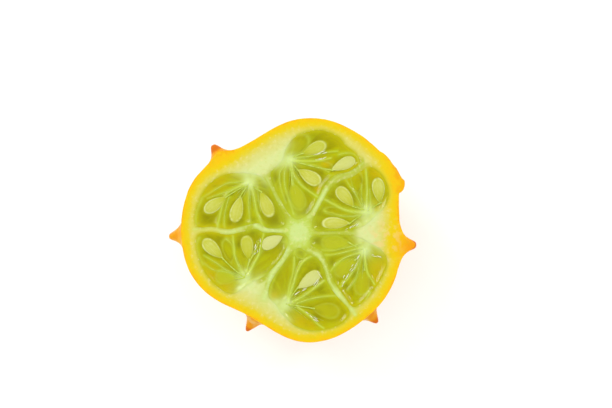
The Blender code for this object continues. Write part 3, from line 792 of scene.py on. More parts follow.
def make_skin():
    """The horned skin below the cut, with the flats that it stands on: a mesh and its rim."""
    skin = turn_body()
    make_finer(skin)
    points, climb = raise_horns(points_of(skin))
    layer = skin.verts.layers.float.new("climb")
    for point, place_on_horn, share in zip(skin.verts, points, climb):
        point.co = place_on_horn
        point[layer] = share
    make_uneven(skin)
    rim = slice_off(skin, CUT_HEIGHT, 1.0, bmesh.types.BMVert)
    bmesh.ops.remove_doubles(skin, verts=rim, dist=RIM_WELD)
    soles = slice_off(skin, 0.0, -1.0, bmesh.types.BMEdge)
    bmesh.ops.edgeloop_fill(skin, edges=soles)
    return skin, walk_rim(skin)


def walk_rim(skin):
    """The skin's top edge as plan points in order."""
    edge = next(edge for edge in skin.edges if edge.is_boundary)
    rim = list(edge.verts)
    while True:
        edge = next(e for e in rim[-1].link_edges if e.is_boundary and e is not edge)
        point = edge.other_vert(rim[-1])
        if point is rim[0]:
            return anticlockwise(np.array([point.co[:2] for point in rim]))
        rim.append(point)


def pocket_outline(fan):
    """The edge of a fan's pocket on the cut face."""
    return anticlockwise(smooth_path(fan["pocket"], OUTLINE_STEPS))


def wave_at(points, length, level=0.0):
    """Slow random waves at plan points."""
    return np.array([noise.noise(Vector((x, y, level)) / length) for x, y in points])


def flesh_height(points, pocket_gap, skin_depth):
    """The cut face's height: a knife's flat cut that slumps a little round the pockets."""
    settle = ease(skin_depth / 2.0)
    slump = FLESH_SLUMP * bump(pocket_gap, FLESH_SLUMP_REACH)
    wave = FLESH_WAVE * wave_at(points, FLESH_WAVE_LENGTH, 3.0)
    return CUT_HEIGHT - slump * settle + wave * settle


def gap_to(points, outlines):
    """Each plan point's distance to the nearest of some closed outlines."""
    return np.min([nearest_on_path(points, o, closed=True)[0] for o in outlines], axis=0)


def gap_to_pith(points):
    """Each plan point's distance from the middle of the pith, which is longer than wide."""
    return np.linalg.norm((points - PITH_CENTRE) / PITH_STRETCH, axis=1)


def pocket_walls(outline, top):
    """A pocket's sides and floor, down from its top edge: points, and faces looking outwards."""
    rings = [top]
    for share in POCKET_LEVELS:
        depth = (BODY_DEPTH - FLESH_UNDER_POCKETS) * share
        rings.append(lift(outline * width_at(share), CUT_HEIGHT - depth))
    count = len(outline)
    bottom = (len(rings) - 1) * count
    floor = tuple(range(bottom, bottom + count))[::-1]
    return np.vstack(rings), [floor, *wall_faces(count, len(rings))]


def flesh_marks(points, rim, outlines):
    """The marks that the flesh's material reads, at points of the fruit."""
    plan = points[:, :2]
    on_face = points[:, 2] > CUT_HEIGHT - FLESH_BAND
    rims = [body_point(math.radians(angle), 0.0)[:2] for angle, _ in SPLIT_HORNS]
    split_horns = [(*rim_spot, reach) for rim_spot, (_, reach) in zip(rims, SPLIT_HORNS)]
    skin_depth = np.where(on_face, gap_to(plan, [rim]), 0.0)
    lines, veils = line_masks(plan, WALL_LINES)
    thin_wall = smooth_path(THIN_WALL, STRAND_STEPS, closed=False)
    knot_gaps = [np.linalg.norm(plan - fan["knot"], axis=1) for fan in FANS]
    return {
        "pale": lines,
        "veil": veils,
        "skin_depth": skin_depth * (1.0 - HORN_FLESH * spot_mask(plan, split_horns)),
        "thin_wall": bump(nearest_on_path(plan, thin_wall)[0], THIN_WALL_REACH),
        "pocket_gap": gap_to(plan, outlines),
        "core_gap": gap_to_pith(plan),
        "knot_gap": np.min(knot_gaps, axis=0),
        "blush": spot_mask(plan, [BLUSH]),
        "horn_glow": spot_mask(plan, [HORN_GLOW]),
    }


def make_rind(skin_material, flesh_material):
    """The body of the fruit: skin, horns, flesh, core and the walls of its pockets."""
    rind, rim = make_skin()
    outlines = [pocket_outline(fan) for fan in FANS]
    points, triangles = fill_outline(rim, outlines, FLESH_PITCH)
    heights = flesh_height(points, gap_to(points, outlines), gap_to(points, [rim]))
    add_sheet(rind, lift(points, heights), triangles, material=FLESH)
    for outline in outlines:
        top = flesh_height(outline, np.zeros(len(outline)), gap_to(outline, [rim]))
        points, faces = pocket_walls(outline, lift(outline, top))
        add_sheet(rind, points, [face[::-1] for face in faces], material=FLESH)
    bmesh.ops.remove_doubles(rind, verts=rind.verts, dist=WELD)
    mesh = finish_mesh("fruit_body", rind)
    mark(mesh, **flesh_marks(placed_points(mesh), rim, outlines))
    add_piece("fruit_body", mesh, "rind", "rind", materials=(skin_material, flesh_material))


# The jelly, seeds and strands


def straight_path(start, angle, length, bend):
    """A nearly straight line on the plan from a point, with a slight bend."""
    share = np.linspace(0.0, 1.0, THREAD_POINTS)[:, None]
    onward = np.array((math.cos(angle), math.sin(angle)))
    sideways = np.array((-onward[1], onward[0]))
    return np.array(start) + onward * length * share + sideways * bend * np.sin(math.pi * share)


def drop_reach(points, tip, end, width):
    """How far out in a drop-shaped outline plan points lie: 0 at its middle, 1 at its edge."""
    tip, end = np.array(tip), np.array(end)
    half = np.linalg.norm(end - tip) / 2.0
    onward = (end - tip) / (2.0 * half)
    offset = points - (tip + end) / 2.0
    along = offset @ onward / half
    across = offset @ np.array((-onward[1], onward[0]))
    half_width = 0.5 * width * seed_taper(np.clip(along, -0.96, 1.0))
    return np.hypot(along, across / half_width)


def line_masks(points, lines):
    """Masks at plan points for pale lines, and for the soft veils along them."""
    core = np.zeros(len(points))
    veil = np.zeros(len(points))
    for width, paleness, corners in lines:
        gap, along = nearest_on_path(points, smooth_path(corners, STRAND_STEPS, closed=False))
        core = np.maximum(core, 0.8 * paleness * bump(gap, 0.6 * width * (1.0 - 0.35 * along)))
        reach = VEIL_REACH * width * (1.25 - 0.5 * along)
        veil = np.maximum(veil, (0.4 + 0.5 * paleness) * bump(gap, reach))
    return core, veil


def spot_mask(points, spots):
    """A mask at plan points for soft round places."""
    gaps = [bump(np.linalg.norm(points - (x, y), axis=1), reach) for x, y, reach in spots]
    return np.max(gaps, axis=0) if gaps else np.zeros(len(points))


def jelly_relief(points, fan, outline):
    """A pocket's jelly at plan points: its height, and masks for its material."""
    wall_gap = nearest_on_path(points, outline, closed=True)[0]
    core_gap = gap_to_pith(points) - PITH_RADIUS
    knot_gap = np.linalg.norm(points - fan["knot"], axis=1)
    strands, veils = line_masks(points, fan["strands"])
    edge = ease(wall_gap / JELLY_CLING)
    height = JELLY_EDGE + (JELLY_LEVEL - JELLY_EDGE) * edge
    # The shade mask is painted shade: darker rings round the seeds and inside the edges of empty
    # sacs.
    shade, cover, under, membranes, sacs = np.zeros((5, len(points)))
    for tip, end, sunk in fan["seeds"]:
        reach = drop_reach(points, tip, end, SEED_WIDTH)
        if sunk > SEED_BURIED:
            glow = (1.0 - sunk) / (1.0 - SEED_BURIED)
            under = np.maximum(under, (0.3 + 0.7 * glow) * ease((1.10 - reach) / 0.35))
            membranes = np.maximum(membranes, 0.22 * bump(reach - 1.04, 0.11))
            shade = np.maximum(shade, 0.6 * bump(reach - 1.35, 0.2))
            height += BURIED_RISE * ease((1.1 - reach) / 0.5)
        else:
            shade = np.maximum(shade, (1.0 - 0.4 * sunk) * bump(reach - 1.15, 0.30))
            cover = np.maximum(cover, ease((1.1 - reach) / 0.3))
            under = np.maximum(under, (0.35 + 0.65 * sunk) * ease((1.12 - reach) / 0.24))
            height += SEED_BRIM * bump(reach - 1.0, 0.3) - SEED_BED * ease((0.86 - reach) / 0.3)
    for tip, end, width in fan["sacs"]:
        reach = drop_reach(points, tip, end, width)
        sacs = np.maximum(sacs, ease((1.10 - reach) / 0.25))
        shade = np.maximum(shade, 0.8 * bump(reach - 0.92, 0.16))
        membranes = np.maximum(membranes, 0.25 * bump(reach - 1.2, 0.14))
    waves = JELLY_WAVE * wave_at(points, JELLY_WAVE_LENGTH)
    height += (SAC_RISE * sacs + STRAND_RIDGE * strands + VEIL_RIDGE * veils + waves) * edge
    height += KNOT_RISE * bump(knot_gap, 1.8)
    height -= JELLY_SAG * ease((1.0 - veils) * wall_gap / 2.5)
    near_core = np.exp(-np.maximum(core_gap, 0.0) / 1.6)
    pale = 0.9 * strands + 0.35 * np.exp(-knot_gap / 2.6) + 0.35 * near_core + membranes
    veils = np.maximum(veils, np.exp(-knot_gap / 4.0)) + 0.4 * near_core + membranes
    edge_glow = 0.9 * ease((7.0 - knot_gap) / 3.5) * np.exp(-wall_gap / 0.8)
    masks = {
        "pale": np.clip(pale, 0.0, 1.0) * (1.0 - 0.6 * cover),
        "veil": np.clip(veils, 0.0, 1.0) * (1.0 - 0.5 * cover),
        "knot": np.maximum(bump(knot_gap, KNOT_GLOW), edge_glow),
        "edge": np.exp(-wall_gap / 0.9),
        "shade": np.clip(shade * (1.0 - strands), 0.0, 1.0),
        "sac": sacs,
        "under": under,
        "core_gap": core_gap,
    }
    for name in ("fleshy", "deep", "amber"):
        masks[name] = spot_mask(points, fan[name])
    return height, masks


def fan_bearing(points, knot):
    """At what angle from the core, and how far off, plan points lie as seen from a knot."""
    offset = points - knot
    inward = -np.array(knot)
    across = offset[:, 1] * inward[0] - offset[:, 0] * inward[1]
    return np.arctan2(across, offset @ inward), np.linalg.norm(offset, axis=1)


def make_jelly(number, fan, material):
    """One pocket's jelly: a wet top that clings to the flesh, over a closed body."""
    outline = pocket_outline(fan)
    edge = widen(outline, JELLY_OVERLAP)
    points, triangles = fill_outline(edge, [], JELLY_PITCH)
    height, _ = jelly_relief(points, fan, outline)
    edge_height, _ = jelly_relief(edge, fan, outline)
    jelly = bmesh.new()
    add_sheet(jelly, lift(points, CUT_HEIGHT + height), triangles)
    top = lift(edge, CUT_HEIGHT + edge_height)
    add_sheet(jelly, *pocket_walls(widen(outline, -JELLY_GAP), top))
    bmesh.ops.remove_doubles(jelly, verts=jelly.verts, dist=WELD)
    name = f"jelly_{number}"
    mesh = finish_mesh(name, jelly)
    points = placed_points(mesh)[:, :2]
    _, masks = jelly_relief(points, fan, outline)
    angle, distance = fan_bearing(points, fan["knot"])
    own_streaks = np.full(len(points), STREAKS_APART * number)
    mark(mesh, fan=np.column_stack((angle, distance, own_streaks)), **masks)
    add_piece(name, mesh, "pulp", f"pulp_{number}", materials=(material,))


def add(tree, kind, inputs=None, **settings):
    """Adds a node to a tree; an input is given a value, or a socket to be linked from."""
    node = tree.nodes.new(kind)
    for name, value in settings.items():
        setattr(node, name, value)
    for name, value in (inputs or {}).items():
        if isinstance(value, bpy.types.NodeSocket):
            tree.links.new(value, node.inputs[name])
        else:
            node.inputs[name].default_value = value
    return node


def new_tree(name, kind, inputs, outputs):
    """A node group with named sockets of given kinds, its inputs and its outputs."""
    tree = bpy.data.node_groups.new(name, kind + "NodeTree")
    for direction, sockets in (("INPUT", inputs), ("OUTPUT", outputs)):
        for socket, what in sockets.items():
            tree.interface.new_socket(socket, in_out=direction, socket_type="NodeSocket" + what)
    return tree, tree.nodes.new("NodeGroupInput").outputs, tree.nodes.new("NodeGroupOutput").inputs


def read_named(tree, name, kind):
    """A number or a vector kept on the points, in a geometry tree."""
    node = add(tree, "GeometryNodeInputNamedAttribute", {"Name": name}, data_type=kind)
    return node.outputs[0]


def end_tree(tree, geometry, given, result):
    """Ends a geometry tree: what it has grown is made real and given its material."""
    real = add(tree, "GeometryNodeRealizeInstances", {"Geometry": geometry}).outputs[0]
    inputs = {"Geometry": real, "Material": given["Material"]}
    done = add(tree, "GeometryNodeSetMaterial", inputs)
    tree.links.new(done.outputs[0], result[0])


def grow(name, points, edges, marks, tree, values):
    """Runs a geometry tree on some points and keeps what grows as a plain mesh."""
    base_mesh = bpy.data.meshes.new(name)
    base_mesh.from_pydata([tuple(point) for point in place(points)], edges, [])
    mark(base_mesh, **marks)
    base = add_object(name + "_base", base_mesh)
    modifier = base.modifiers.new(name, "NODES")
    modifier.node_group = tree
    for item in tree.interface.items_tree:
        if item.name in values:
            modifier[item.identifier] = values[item.name]
    depsgraph = bpy.context.evaluated_depsgraph_get()
    evaluated = base.evaluated_get(depsgraph)
    mesh = bpy.data.meshes.new_from_object(
        evaluated, preserve_all_data_layers=True, depsgraph=depsgraph
    )
    bpy.data.objects.remove(base)
    mesh.name = name
    mesh.shade_smooth()
    return mesh


def make_seed_shape():
    """One seed of unit length, width and thickness: a flat drop with a raised rim."""
    turns = np.arange(SEED_SIDES) * math.tau / SEED_SIDES
    upper = np.sin(np.linspace(0.0, 1.0, SEED_BANDS + 1)[1:] * math.pi / 2.0)
    bands = [(band, 1.0) for band in upper] + [(band, -1.0) for band in upper[-2::-1]]
    flatness, roundness = SEED_DOME
    rings = []
    for band, side in bands:
        along = band * np.cos(turns)
        across = band * np.sin(turns) * seed_taper(along)
        dome = (1.0 - band**flatness) ** roundness
        dome += SEED_RIM * bump(band - SEED_RIM_REACH, SEED_RIM_WIDTH)
        rings.append(np.column_stack((along, across, np.full(SEED_SIDES, side * dome))) / 2.0)
    top = len(rings) * SEED_SIDES
    bottom = top + 1
    last = top - SEED_SIDES
    faces = wall_faces(SEED_SIDES, len(rings))
    for i in range(SEED_SIDES):
        j = (i + 1) % SEED_SIDES
        faces += [(top, i, j), (bottom, last + j, last + i)]
    points = np.vstack((*rings, (0.0, 0.0, 0.5), (0.0, 0.0, -0.5)))
    shape = bmesh.new()
    add_sheet(shape, points, faces)
    mesh = bpy.data.meshes.new("seed_shape")
    shape.to_mesh(mesh)
    shape.free()
    reach = np.repeat([band for band, _ in bands], SEED_SIDES)
    mark(mesh, grain=points, reach=np.append(reach, (0.0, 0.0)))
    return bpy.data.objects.new("seed_shape", mesh)


def seed_tree():
    """A geometry tree that lays a seed on each point, turned and sized by the point's marks."""
    sockets = {
        "Points": "Geometry",
        "Seed Shape": "Object",
        "Size": "Float",
        "Material": "Material",
    }
    tree, given, result = new_tree("lay_seeds", "Geometry", sockets, {"Seeds": "Geometry"})
    shape = add(tree, "GeometryNodeObjectInfo", {"Object": given["Seed Shape"]})
    turn = read_named(tree, "turn", "FLOAT_VECTOR")
    size = {0: read_named(tree, "size", "FLOAT_VECTOR"), "Scale": given["Size"]}
    scale = add(tree, "ShaderNodeVectorMath", size, operation="SCALE")
    seeds = {
        "Points": given["Points"],
        "Instance": shape.outputs["Geometry"],
        "Rotation": add(tree, "FunctionNodeEulerToRotation", {0: turn}).outputs[0],
        "Scale": scale.outputs[0],
    }
    laid = add(tree, "GeometryNodeInstanceOnPoints", seeds)
    end_tree(tree, laid.outputs[0], given, result)
    return tree


def make_seeds(material):
    """Every fan's seeds, bare, half sunk or buried in the jelly."""
    draw = random.Random(RANDOM_SEED)
    places, turns, sizes, depths = [], [], [], []
    for fan in FANS:
        for tip, end, sunk in fan["seeds"]:
            run = np.array(end) - tip
            middle = (np.array(tip) + end) / 2.0
            buried = BURIED_SINK if sunk > SEED_BURIED else 0.0
            places.append((*middle, CUT_HEIGHT + SEED_LEVEL - SEED_SINK * sunk - buried))
            tilt = [draw.uniform(-SEED_TILT, SEED_TILT) for _ in range(2)]
            turns.append((*tilt, heading(run)))
            width = SEED_WIDTH * draw.uniform(*SEED_WIDTHS)
            sizes.append((np.linalg.norm(run), width, SEED_THICKNESS))
            depths.append(sunk)
    mesh = grow(
        "seeds",
        places,
        [],
        {"turn": turns, "size": sizes, "sunk": depths},
        seed_tree(),
        {"Seed Shape": make_seed_shape(), "Size": MM, "Material": material},
    )
    add_piece("seeds", mesh, "seeds", *SEED_NODES)


def strand_tree():
    """A geometry tree that gives each line of points a round, tapering body."""
    sockets = {"Lines": "Geometry", "Thickness": "Float", "Sides": "Int", "Material": "Material"}
    tree, given, result = new_tree("spin_strands", "Geometry", sockets, {"Strands": "Geometry"})
    thickness = {0: read_named(tree, "width", "FLOAT"), 1: given["Thickness"]}
    thickness = add(tree, "ShaderNodeMath", thickness, operation="MULTIPLY")
    profile = {"Resolution": given["Sides"], "Radius": 1.0}
    profile = add(tree, "GeometryNodeCurvePrimitiveCircle", profile)
    body = {
        "Curve": add(tree, "GeometryNodeMeshToCurve", {"Mesh": given["Lines"]}).outputs[0],
        "Profile Curve": profile.outputs[0],
        "Scale": thickness.outputs[0],
        "Fill Caps": True,
    }
    end_tree(tree, add(tree, "GeometryNodeCurveToMesh", body).outputs[0], given, result)
    return tree


class Lines:
    """Lines of points in the making, each with its half width and whether it is a glint."""

    def __init__(self):
        self.points = []
        self.edges = []
        self.widths = []
        self.glints = []

    def add(self, line, level, fall, widths, glint=0.0):
        """Adds a plan line that falls a little from its first level."""
        first = len(self.points)
        self.points.extend(lift(line, CUT_HEIGHT + level - fall * shares(line)))
        self.edges.extend((first + i, first + i + 1) for i in range(len(line) - 1))
        self.widths.extend(widths)
        self.glints.extend([glint] * len(line))


def lay_strands(lines, fan, draw):
    """A fan's strands, and fine threads beside each of them."""
    knot = np.array(fan["knot"])
    for width, paleness, corners in fan["strands"]:
        strand = smooth_path(corners, STRAND_STEPS, closed=False)
        widths = 0.5 * STRAND_WIDTH * width * paleness * (1.0 - 0.5 * shares(strand))
        lines.add(strand, STRAND_LEVEL, STRAND_FALL, widths)
        run = strand[-1] - knot
        for _ in range(THREADS_BY_STRAND):
            angle = heading(run) + math.radians(draw.uniform(-THREAD_SPREAD, THREAD_SPREAD))
            length = np.linalg.norm(run) * draw.uniform(*THREAD_LENGTHS)
            thread = straight_path(knot, angle, length, draw.uniform(-THREAD_BEND, THREAD_BEND))
            widths = 0.5 * THREAD_WIDTH * (1.0 - 0.7 * shares(thread))
            lines.add(thread, STRAND_LEVEL - THREAD_DROP, THREAD_FALL, widths)


def lay_stalks(lines, fan, draw):
    """A stalk from the knot to each seed that points at it."""
    knot = np.array(fan["knot"])
    for tip, end, sunk in fan["seeds"]:
        if math.dist(end, knot) < math.dist(tip, knot):
            continue
        run = np.array(tip) - knot
        length = np.linalg.norm(run) + STALK_OVERLAP
        bend = draw.uniform(-THREAD_BEND, THREAD_BEND)
        stalk = straight_path(knot, heading(run), length, bend)
        share = shares(stalk)
        widths = STALK_WIDTH * (0.5 - 0.3 * share + 0.35 * share**4)
        lines.add(stalk, STRAND_LEVEL - STALK_DROP, STALK_FALL * sunk, widths)


def lay_painted_glints(lines, draw):
    """Slivers coloured nearly white as painted highlights, strewn along their bands."""
    for band_width, count, corners in PAINTED_GLINTS:
        band = smooth_path(corners, STRAND_STEPS, closed=False)
        for _ in range(count):
            at = draw.randrange(len(band) - 1)
            run = band[at + 1] - band[at]
            aside = np.array((-run[1], run[0])) / np.linalg.norm(run)
            start = band[at] + aside * band_width * draw.uniform(-0.5, 0.5)
            angle = heading(run) + draw.uniform(-GLINT_TURN, GLINT_TURN)
            length = draw.uniform(*GLINT_LENGTHS)
            glint = straight_path(start, angle, length, draw.uniform(-GLINT_BEND, GLINT_BEND))
            widths = 0.5 * GLINT_WIDTH * draw.uniform(0.5, 1.0) * np.sin(math.pi * shares(glint))
            # The glint mark makes these slivers painted highlights in the strand material.
            lines.add(glint, GLINT_LEVEL, 0.0, widths + GLINT_TIP, glint=1.0)


def make_strands(material):
    """The strands, the seeds' stalks, the threads round every knot, and the slivers of painted
    highlight.
    """
    draw = random.Random(RANDOM_SEED)
    lines = Lines()
    for fan in FANS:
        lay_strands(lines, fan, draw)
        lay_stalks(lines, fan, draw)
    lay_painted_glints(lines, draw)
    mesh = grow(
        "strands",
        lines.points,
        lines.edges,
        {"width": lines.widths, "glint": lines.glints},
        strand_tree(),
        {"Thickness": MM, "Sides": STRAND_SIDES, "Material": material},
    )
    add_piece("strands", mesh, "seeds", *SEED_NODES)


# Materials


class Paint:
    """Nodes added to a shader tree, and the colour that they have laid on so far."""

    def __init__(self, tree, position):
        self.tree = tree
        self.position = position
        self.colour = None

    def add(self, kind, output, inputs=None, **settings):
        """Adds a node and gives one of its outputs."""
        return add(self.tree, kind, inputs, **settings).outputs[output]

    def calc(self, operation, first, second=0.0, third=0.0):
        """One step of arithmetic, kept between 0 and 1."""
        inputs = {0: first, 1: second, 2: third}
        return self.add("ShaderNodeMath", 0, inputs, operation=operation, use_clamp=True)

    def scaled(self, value, scale, offset):
        """A value times a scale, plus an offset."""
        return self.calc("MULTIPLY_ADD", value, scale, offset)

    def times(self, product, *values):
        """Masks and numbers multiplied together."""
        for value in values:
            product = self.calc("MULTIPLY", product, value)
        return product

    def fade(self, value, start, end):
        """A value turned into a mask that runs from 0 at the start to 1 at the end."""
        inputs = {"Value": value, "From Min": start, "From Max": end}
        return self.add("ShaderNodeMapRange", "Result", inputs, interpolation_type="SMOOTHSTEP")

    def noise(self, scale, detail=2.0, at=None):
        """A soft random value, 0 to 1, over space."""
        vector = self.position if at is None else at
        return self.add(
            "ShaderNodeTexNoise", "Fac", {"Vector": vector, "Scale": scale, "Detail": detail}
        )

    def stretch(self, vector, scale):
        """A vector with each of its parts scaled by its own number."""
        return self.add("ShaderNodeMapping", 0, {"Vector": vector, "Scale": scale})

    def read(self, name, output="Fac"):
        """A number or a vector kept on the mesh."""
        return self.add("ShaderNodeAttribute", output, attribute_name=name)

    def group(self, name, **inputs):
        """Places a node group on the surface and gives its only output."""
        sockets = {"Position": self.position}
        sockets.update({word.title(): value for word, value in inputs.items()})
        return self.add("ShaderNodeGroup", 0, sockets, node_tree=bpy.data.node_groups[name])

    def ramp(self, value, *stops):
        """A colour looked up along (place, colour) stops."""
        node = add(self.tree, "ShaderNodeValToRGB", {"Fac": value})
        elements = node.color_ramp.elements
        while len(elements) < len(stops):
            elements.new(1.0)
        for element, (position, colour) in zip(elements, stops):
            element.position = position
            element.color = colour
        return node.outputs["Color"]

    def blend(self, share, first, second):
        """Two colours blended by a share."""
        return self.add("ShaderNodeMix", 2, {0: share, 6: first, 7: second}, data_type="RGBA")

    def lay(self, colour, *masks):
        """Lays a colour over what is there, as far as the product of some masks says."""
        self.colour = self.blend(self.times(*masks), self.colour, colour)


class Finish(Paint):
    """A material in the making, patterned in millimetres over its piece."""

    def __init__(self, name):
        self.material = bpy.data.materials.new(name)
        self.material.use_nodes = True
        tree = self.material.node_tree
        self.shader = tree.nodes["Principled BSDF"]
        for socket, value in zip(SURFACE_SOCKETS, SURFACES[name]):
            self.shader.inputs[socket].default_value = value
        metres = add(tree, "ShaderNodeTexCoord").outputs["Object"]
        super().__init__(tree, metres)
        self.position = self.stretch(metres, (1.0 / MM,) * 3)

    def connect(self, socket, value):
        """Links a value to one of the shader's inputs."""
        self.tree.links.new(value, self.shader.inputs[socket])

    def done(self, roughness, height, depth, strength):
        """Gives the shader its colour, roughness and relief, and returns the material."""
        relief = {"Height": height, "Distance": depth * MM, "Strength": strength}
        self.connect("Base Color", self.colour)
        self.connect("Roughness", roughness)
        self.connect("Normal", self.add("ShaderNodeBump", 0, relief))
        return self.material


def make_soft_patches():
    """A group for uneven colour: broad patches broken up by small ones."""
    sockets = {"Position": "Vector", "Broad": "Float", "Small": "Float"}
    tree, given, result = new_tree("soft_patches", "Shader", sockets, {"Patches": "Float"})
    paint = Paint(tree, given["Position"])
    broad = paint.times(paint.noise(given["Broad"]), 0.55)
    small = paint.noise(given["Small"], detail=4.0)
    both = paint.scaled(small, 0.45, broad)
    tree.links.new(paint.fade(both, 0.32, 0.68), result[0])


def make_wet_film():
    """A group for a moist surface: the height of its fine cells and of its slow swells."""
    sockets = {"Position": "Vector", "Cells": "Float"}
    tree, given, result = new_tree("wet_film", "Shader", sockets, {"Height": "Float"})
    paint = Paint(tree, given["Position"])
    inputs = {"Vector": given["Position"], "Scale": given["Cells"]}
    cells = paint.add("ShaderNodeTexVoronoi", "Distance", inputs, feature="SMOOTH_F1")
    swells = paint.noise(0.8, detail=3.0)
    tree.links.new(paint.scaled(cells, 0.35, swells), result[0])


def skin_material():
    """Waxy orange-yellow skin, pinker up the horns and brown at their tips."""
    skin = Finish("waxy_skin")
    spread = skin.group("soft_patches", broad=0.09, small=0.55)
    skin.colour = skin.ramp(
        spread,
        (0.0, tone(255, 194, 0)),
        (0.5, tone(254, 175, 0)),
        (1.0, tone(248, 154, 4)),
    )
    cells = {"Vector": skin.position, "Scale": 0.75}
    pore = skin.fade(skin.add("ShaderNodeTexVoronoi", "Distance", cells), 0.20, 0.06)
    skin.lay(tone(255, 218, 96), pore, skin.fade(skin.noise(0.35), 0.45, 0.62), 0.55)
    climb = skin.scaled(skin.noise(1.1, 3.0), 0.22, skin.read("climb"))
    skin.lay(tone(251, 168, 0), skin.fade(climb, 0.16, 0.60), 0.7)
    height = skin.add("ShaderNodeSeparateXYZ", "Z", {0: skin.position})
    low = skin.fade(height, CUT_HEIGHT - 5.4, CUT_HEIGHT - 6.8)
    patchy = skin.fade(skin.noise(0.5), 0.30, 0.64)
    flank = skin.times(skin.fade(climb, 0.12, 0.40), skin.fade(climb, 0.75, 0.45))
    skin.lay(tone(255, 208, 122), flank, low, patchy, 0.9)
    skin.lay(tone(228, 112, 2), skin.fade(climb, 0.72, 1.0), 0.85)
    skin.lay(tone(134, 70, 26), skin.fade(climb, 0.98, 1.15), 0.9)
    height = skin.scaled(skin.noise(2.2, 4.0), 0.6, pore)
    return skin.done(skin.scaled(spread, 0.14, 0.34), height, 0.06, 0.6)


def flesh_material():
    """Cut flesh: orange under the skin, then yellow, cream, and green round the pockets."""
    flesh = Finish("cut_flesh")
    spread = flesh.group("soft_patches", broad=0.16, small=0.9)
    waver = flesh.scaled(flesh.noise(1.1, 3.0), 0.4, flesh.times(spread, 0.6))
    waver = {"Value": waver, "To Min": -0.05, "To Max": 0.05}
    waver = flesh.add("ShaderNodeMapRange", "Result", waver)
    depth = {0: flesh.calc("DIVIDE", flesh.read("skin_depth"), 12.0), 1: waver}
    depth = flesh.add("ShaderNodeMath", 0, depth, operation="ADD")
    flesh.colour = flesh.ramp(
        depth,
        (0.00, tone(251, 186, 0)),
        (0.03, tone(252, 206, 0)),
        (0.10, tone(246, 214, 0)),
        (0.17, tone(241, 216, 24)),
        (0.25, tone(233, 219, 84)),
        (0.38, tone(229, 225, 124)),
        (0.62, tone(227, 236, 156)),
    )
    core = flesh.read("core_gap")
    pocket = flesh.read("pocket_gap")
    knot_gap = flesh.read("knot_gap")
    inner = flesh.fade(core, 27.0, 21.0)
    outer = flesh.calc("SUBTRACT", 1.0, inner)
    open_wall = flesh.fade(knot_gap, 4.5, 8.5)
    flesh.lay(tone(223, 213, 60), flesh.fade(pocket, 2.0, 0.0), outer, open_wall, 0.65)
    brink = flesh.blend(inner, tone(208, 201, 16), tone(192, 208, 40))
    flesh.lay(brink, flesh.fade(pocket, 0.9, 0.0), open_wall, 0.8)
    thin = flesh.calc("MAXIMUM", flesh.read("thin_wall"), flesh.fade(core, 19.0, 16.0))
    flesh.lay(tone(184, 193, 24), flesh.fade(pocket, 1.8, 1.0), thin, 0.9)
    flesh.lay(tone(196, 215, 56), flesh.read("veil"), 0.4)
    flesh.lay(tone(218, 239, 146), flesh.read("pale"), flesh.fade(spread, 1.5, 0.1))
    flesh.lay(tone(222, 240, 150), flesh.fade(knot_gap, 5.0, 1.5), 0.8)
    flesh.lay(tone(200, 221, 82), flesh.fade(core, 5.6, 3.4))
    pith = flesh.scaled(flesh.noise(0.7, 3.0), 0.5, flesh.calc("DIVIDE", core, 8.0))
    flesh.lay(tone(216, 236, 144), flesh.fade(pith, 0.78, 0.46))
    fibres = flesh.noise(0.8, 4.0)
    fleck = flesh.fade(fibres, 0.52, 0.70)
    flesh.lay(tone(246, 238, 170), fleck, flesh.fade(depth, 0.10, 0.24), 0.35)
    mottle = flesh.fade(flesh.noise(0.45, 3.0), 0.48, 0.60)
    flesh.lay(tone(249, 217, 132), flesh.read("blush"), mottle, 0.7)
    flesh.lay(tone(253, 168, 0), flesh.read("horn_glow"))
    flesh.lay(tone(214, 200, 20), flesh.fade(fibres, 0.46, 0.30), 0.20)
    roughness = flesh.scaled(fibres, 0.20, 0.30)
    return flesh.done(roughness, flesh.group("wet_film", cells=1.9), 0.06, 0.3)


def jelly_material():
    """Wet olive jelly, streaked out from its knot, paler over strands and along the flesh."""
    jelly = Finish("wet_jelly")
    streaks = jelly.stretch(jelly.read("fan", "Vector"), (6.0, 0.16, 1.0))
    streak = jelly.noise(1.0, 4.0, at=streaks)
    core = jelly.read("core_gap")
    jelly.colour = jelly.ramp(
        jelly.calc("DIVIDE", core, 30.0),
        (0.0, tone(176, 181, 0)),
        (0.35, tone(182, 180, 0)),
        (0.75, tone(192, 186, 0)),
        (1.0, tone(201, 189, 0)),
    )
    spread = jelly.group("soft_patches", broad=0.22, small=0.8)
    jelly.lay(tone(193, 192, 0), jelly.fade(spread, 0.4, 1.0), 0.5)
    jelly.lay(tone(158, 155, 0), jelly.fade(streak, 0.48, 0.32), 0.5)
    jelly.lay(tone(143, 143, 2), jelly.read("deep"), 0.8)
    jelly.lay(tone(184, 180, 2), jelly.read("sac"), 0.75)
    jelly.lay(tone(194, 202, 8), jelly.fade(streak, 0.50, 0.64), 0.5)
    # Painted shade: darker olive where the shade mask rings the seeds and sacs.
    jelly.lay(tone(150, 147, 0), jelly.read("shade"), jelly.calc("SUBTRACT", 0.95, streak))
    jelly.lay(tone(212, 188, 0), jelly.read("amber"), 0.95)
    jelly.lay(tone(200, 206, 44), jelly.read("under"), 0.95)
    veil = jelly.scaled(streak, 0.8, 0.22)
    jelly.lay(tone(194, 211, 24), veil, jelly.read("veil"))
    edge = jelly.blend(jelly.fade(core, 12.0, 18.0), tone(193, 209, 40), tone(214, 206, 16))
    jelly.lay(edge, jelly.read("edge"), 0.7)
    pale = jelly.times(jelly.read("pale"), jelly.scaled(streak, 0.6, 0.6))
    jelly.lay(tone(213, 234, 100), pale)
    jelly.lay(tone(220, 233, 132), jelly.read("fleshy"), 0.95)
    jelly.lay(tone(224, 242, 154), jelly.read("knot"), 0.95)
    height = jelly.scaled(streak, 0.8, jelly.group("wet_film", cells=1.2))
    return jelly.done(jelly.scaled(pale, 0.18, 0.20), height, 0.16, 0.5)


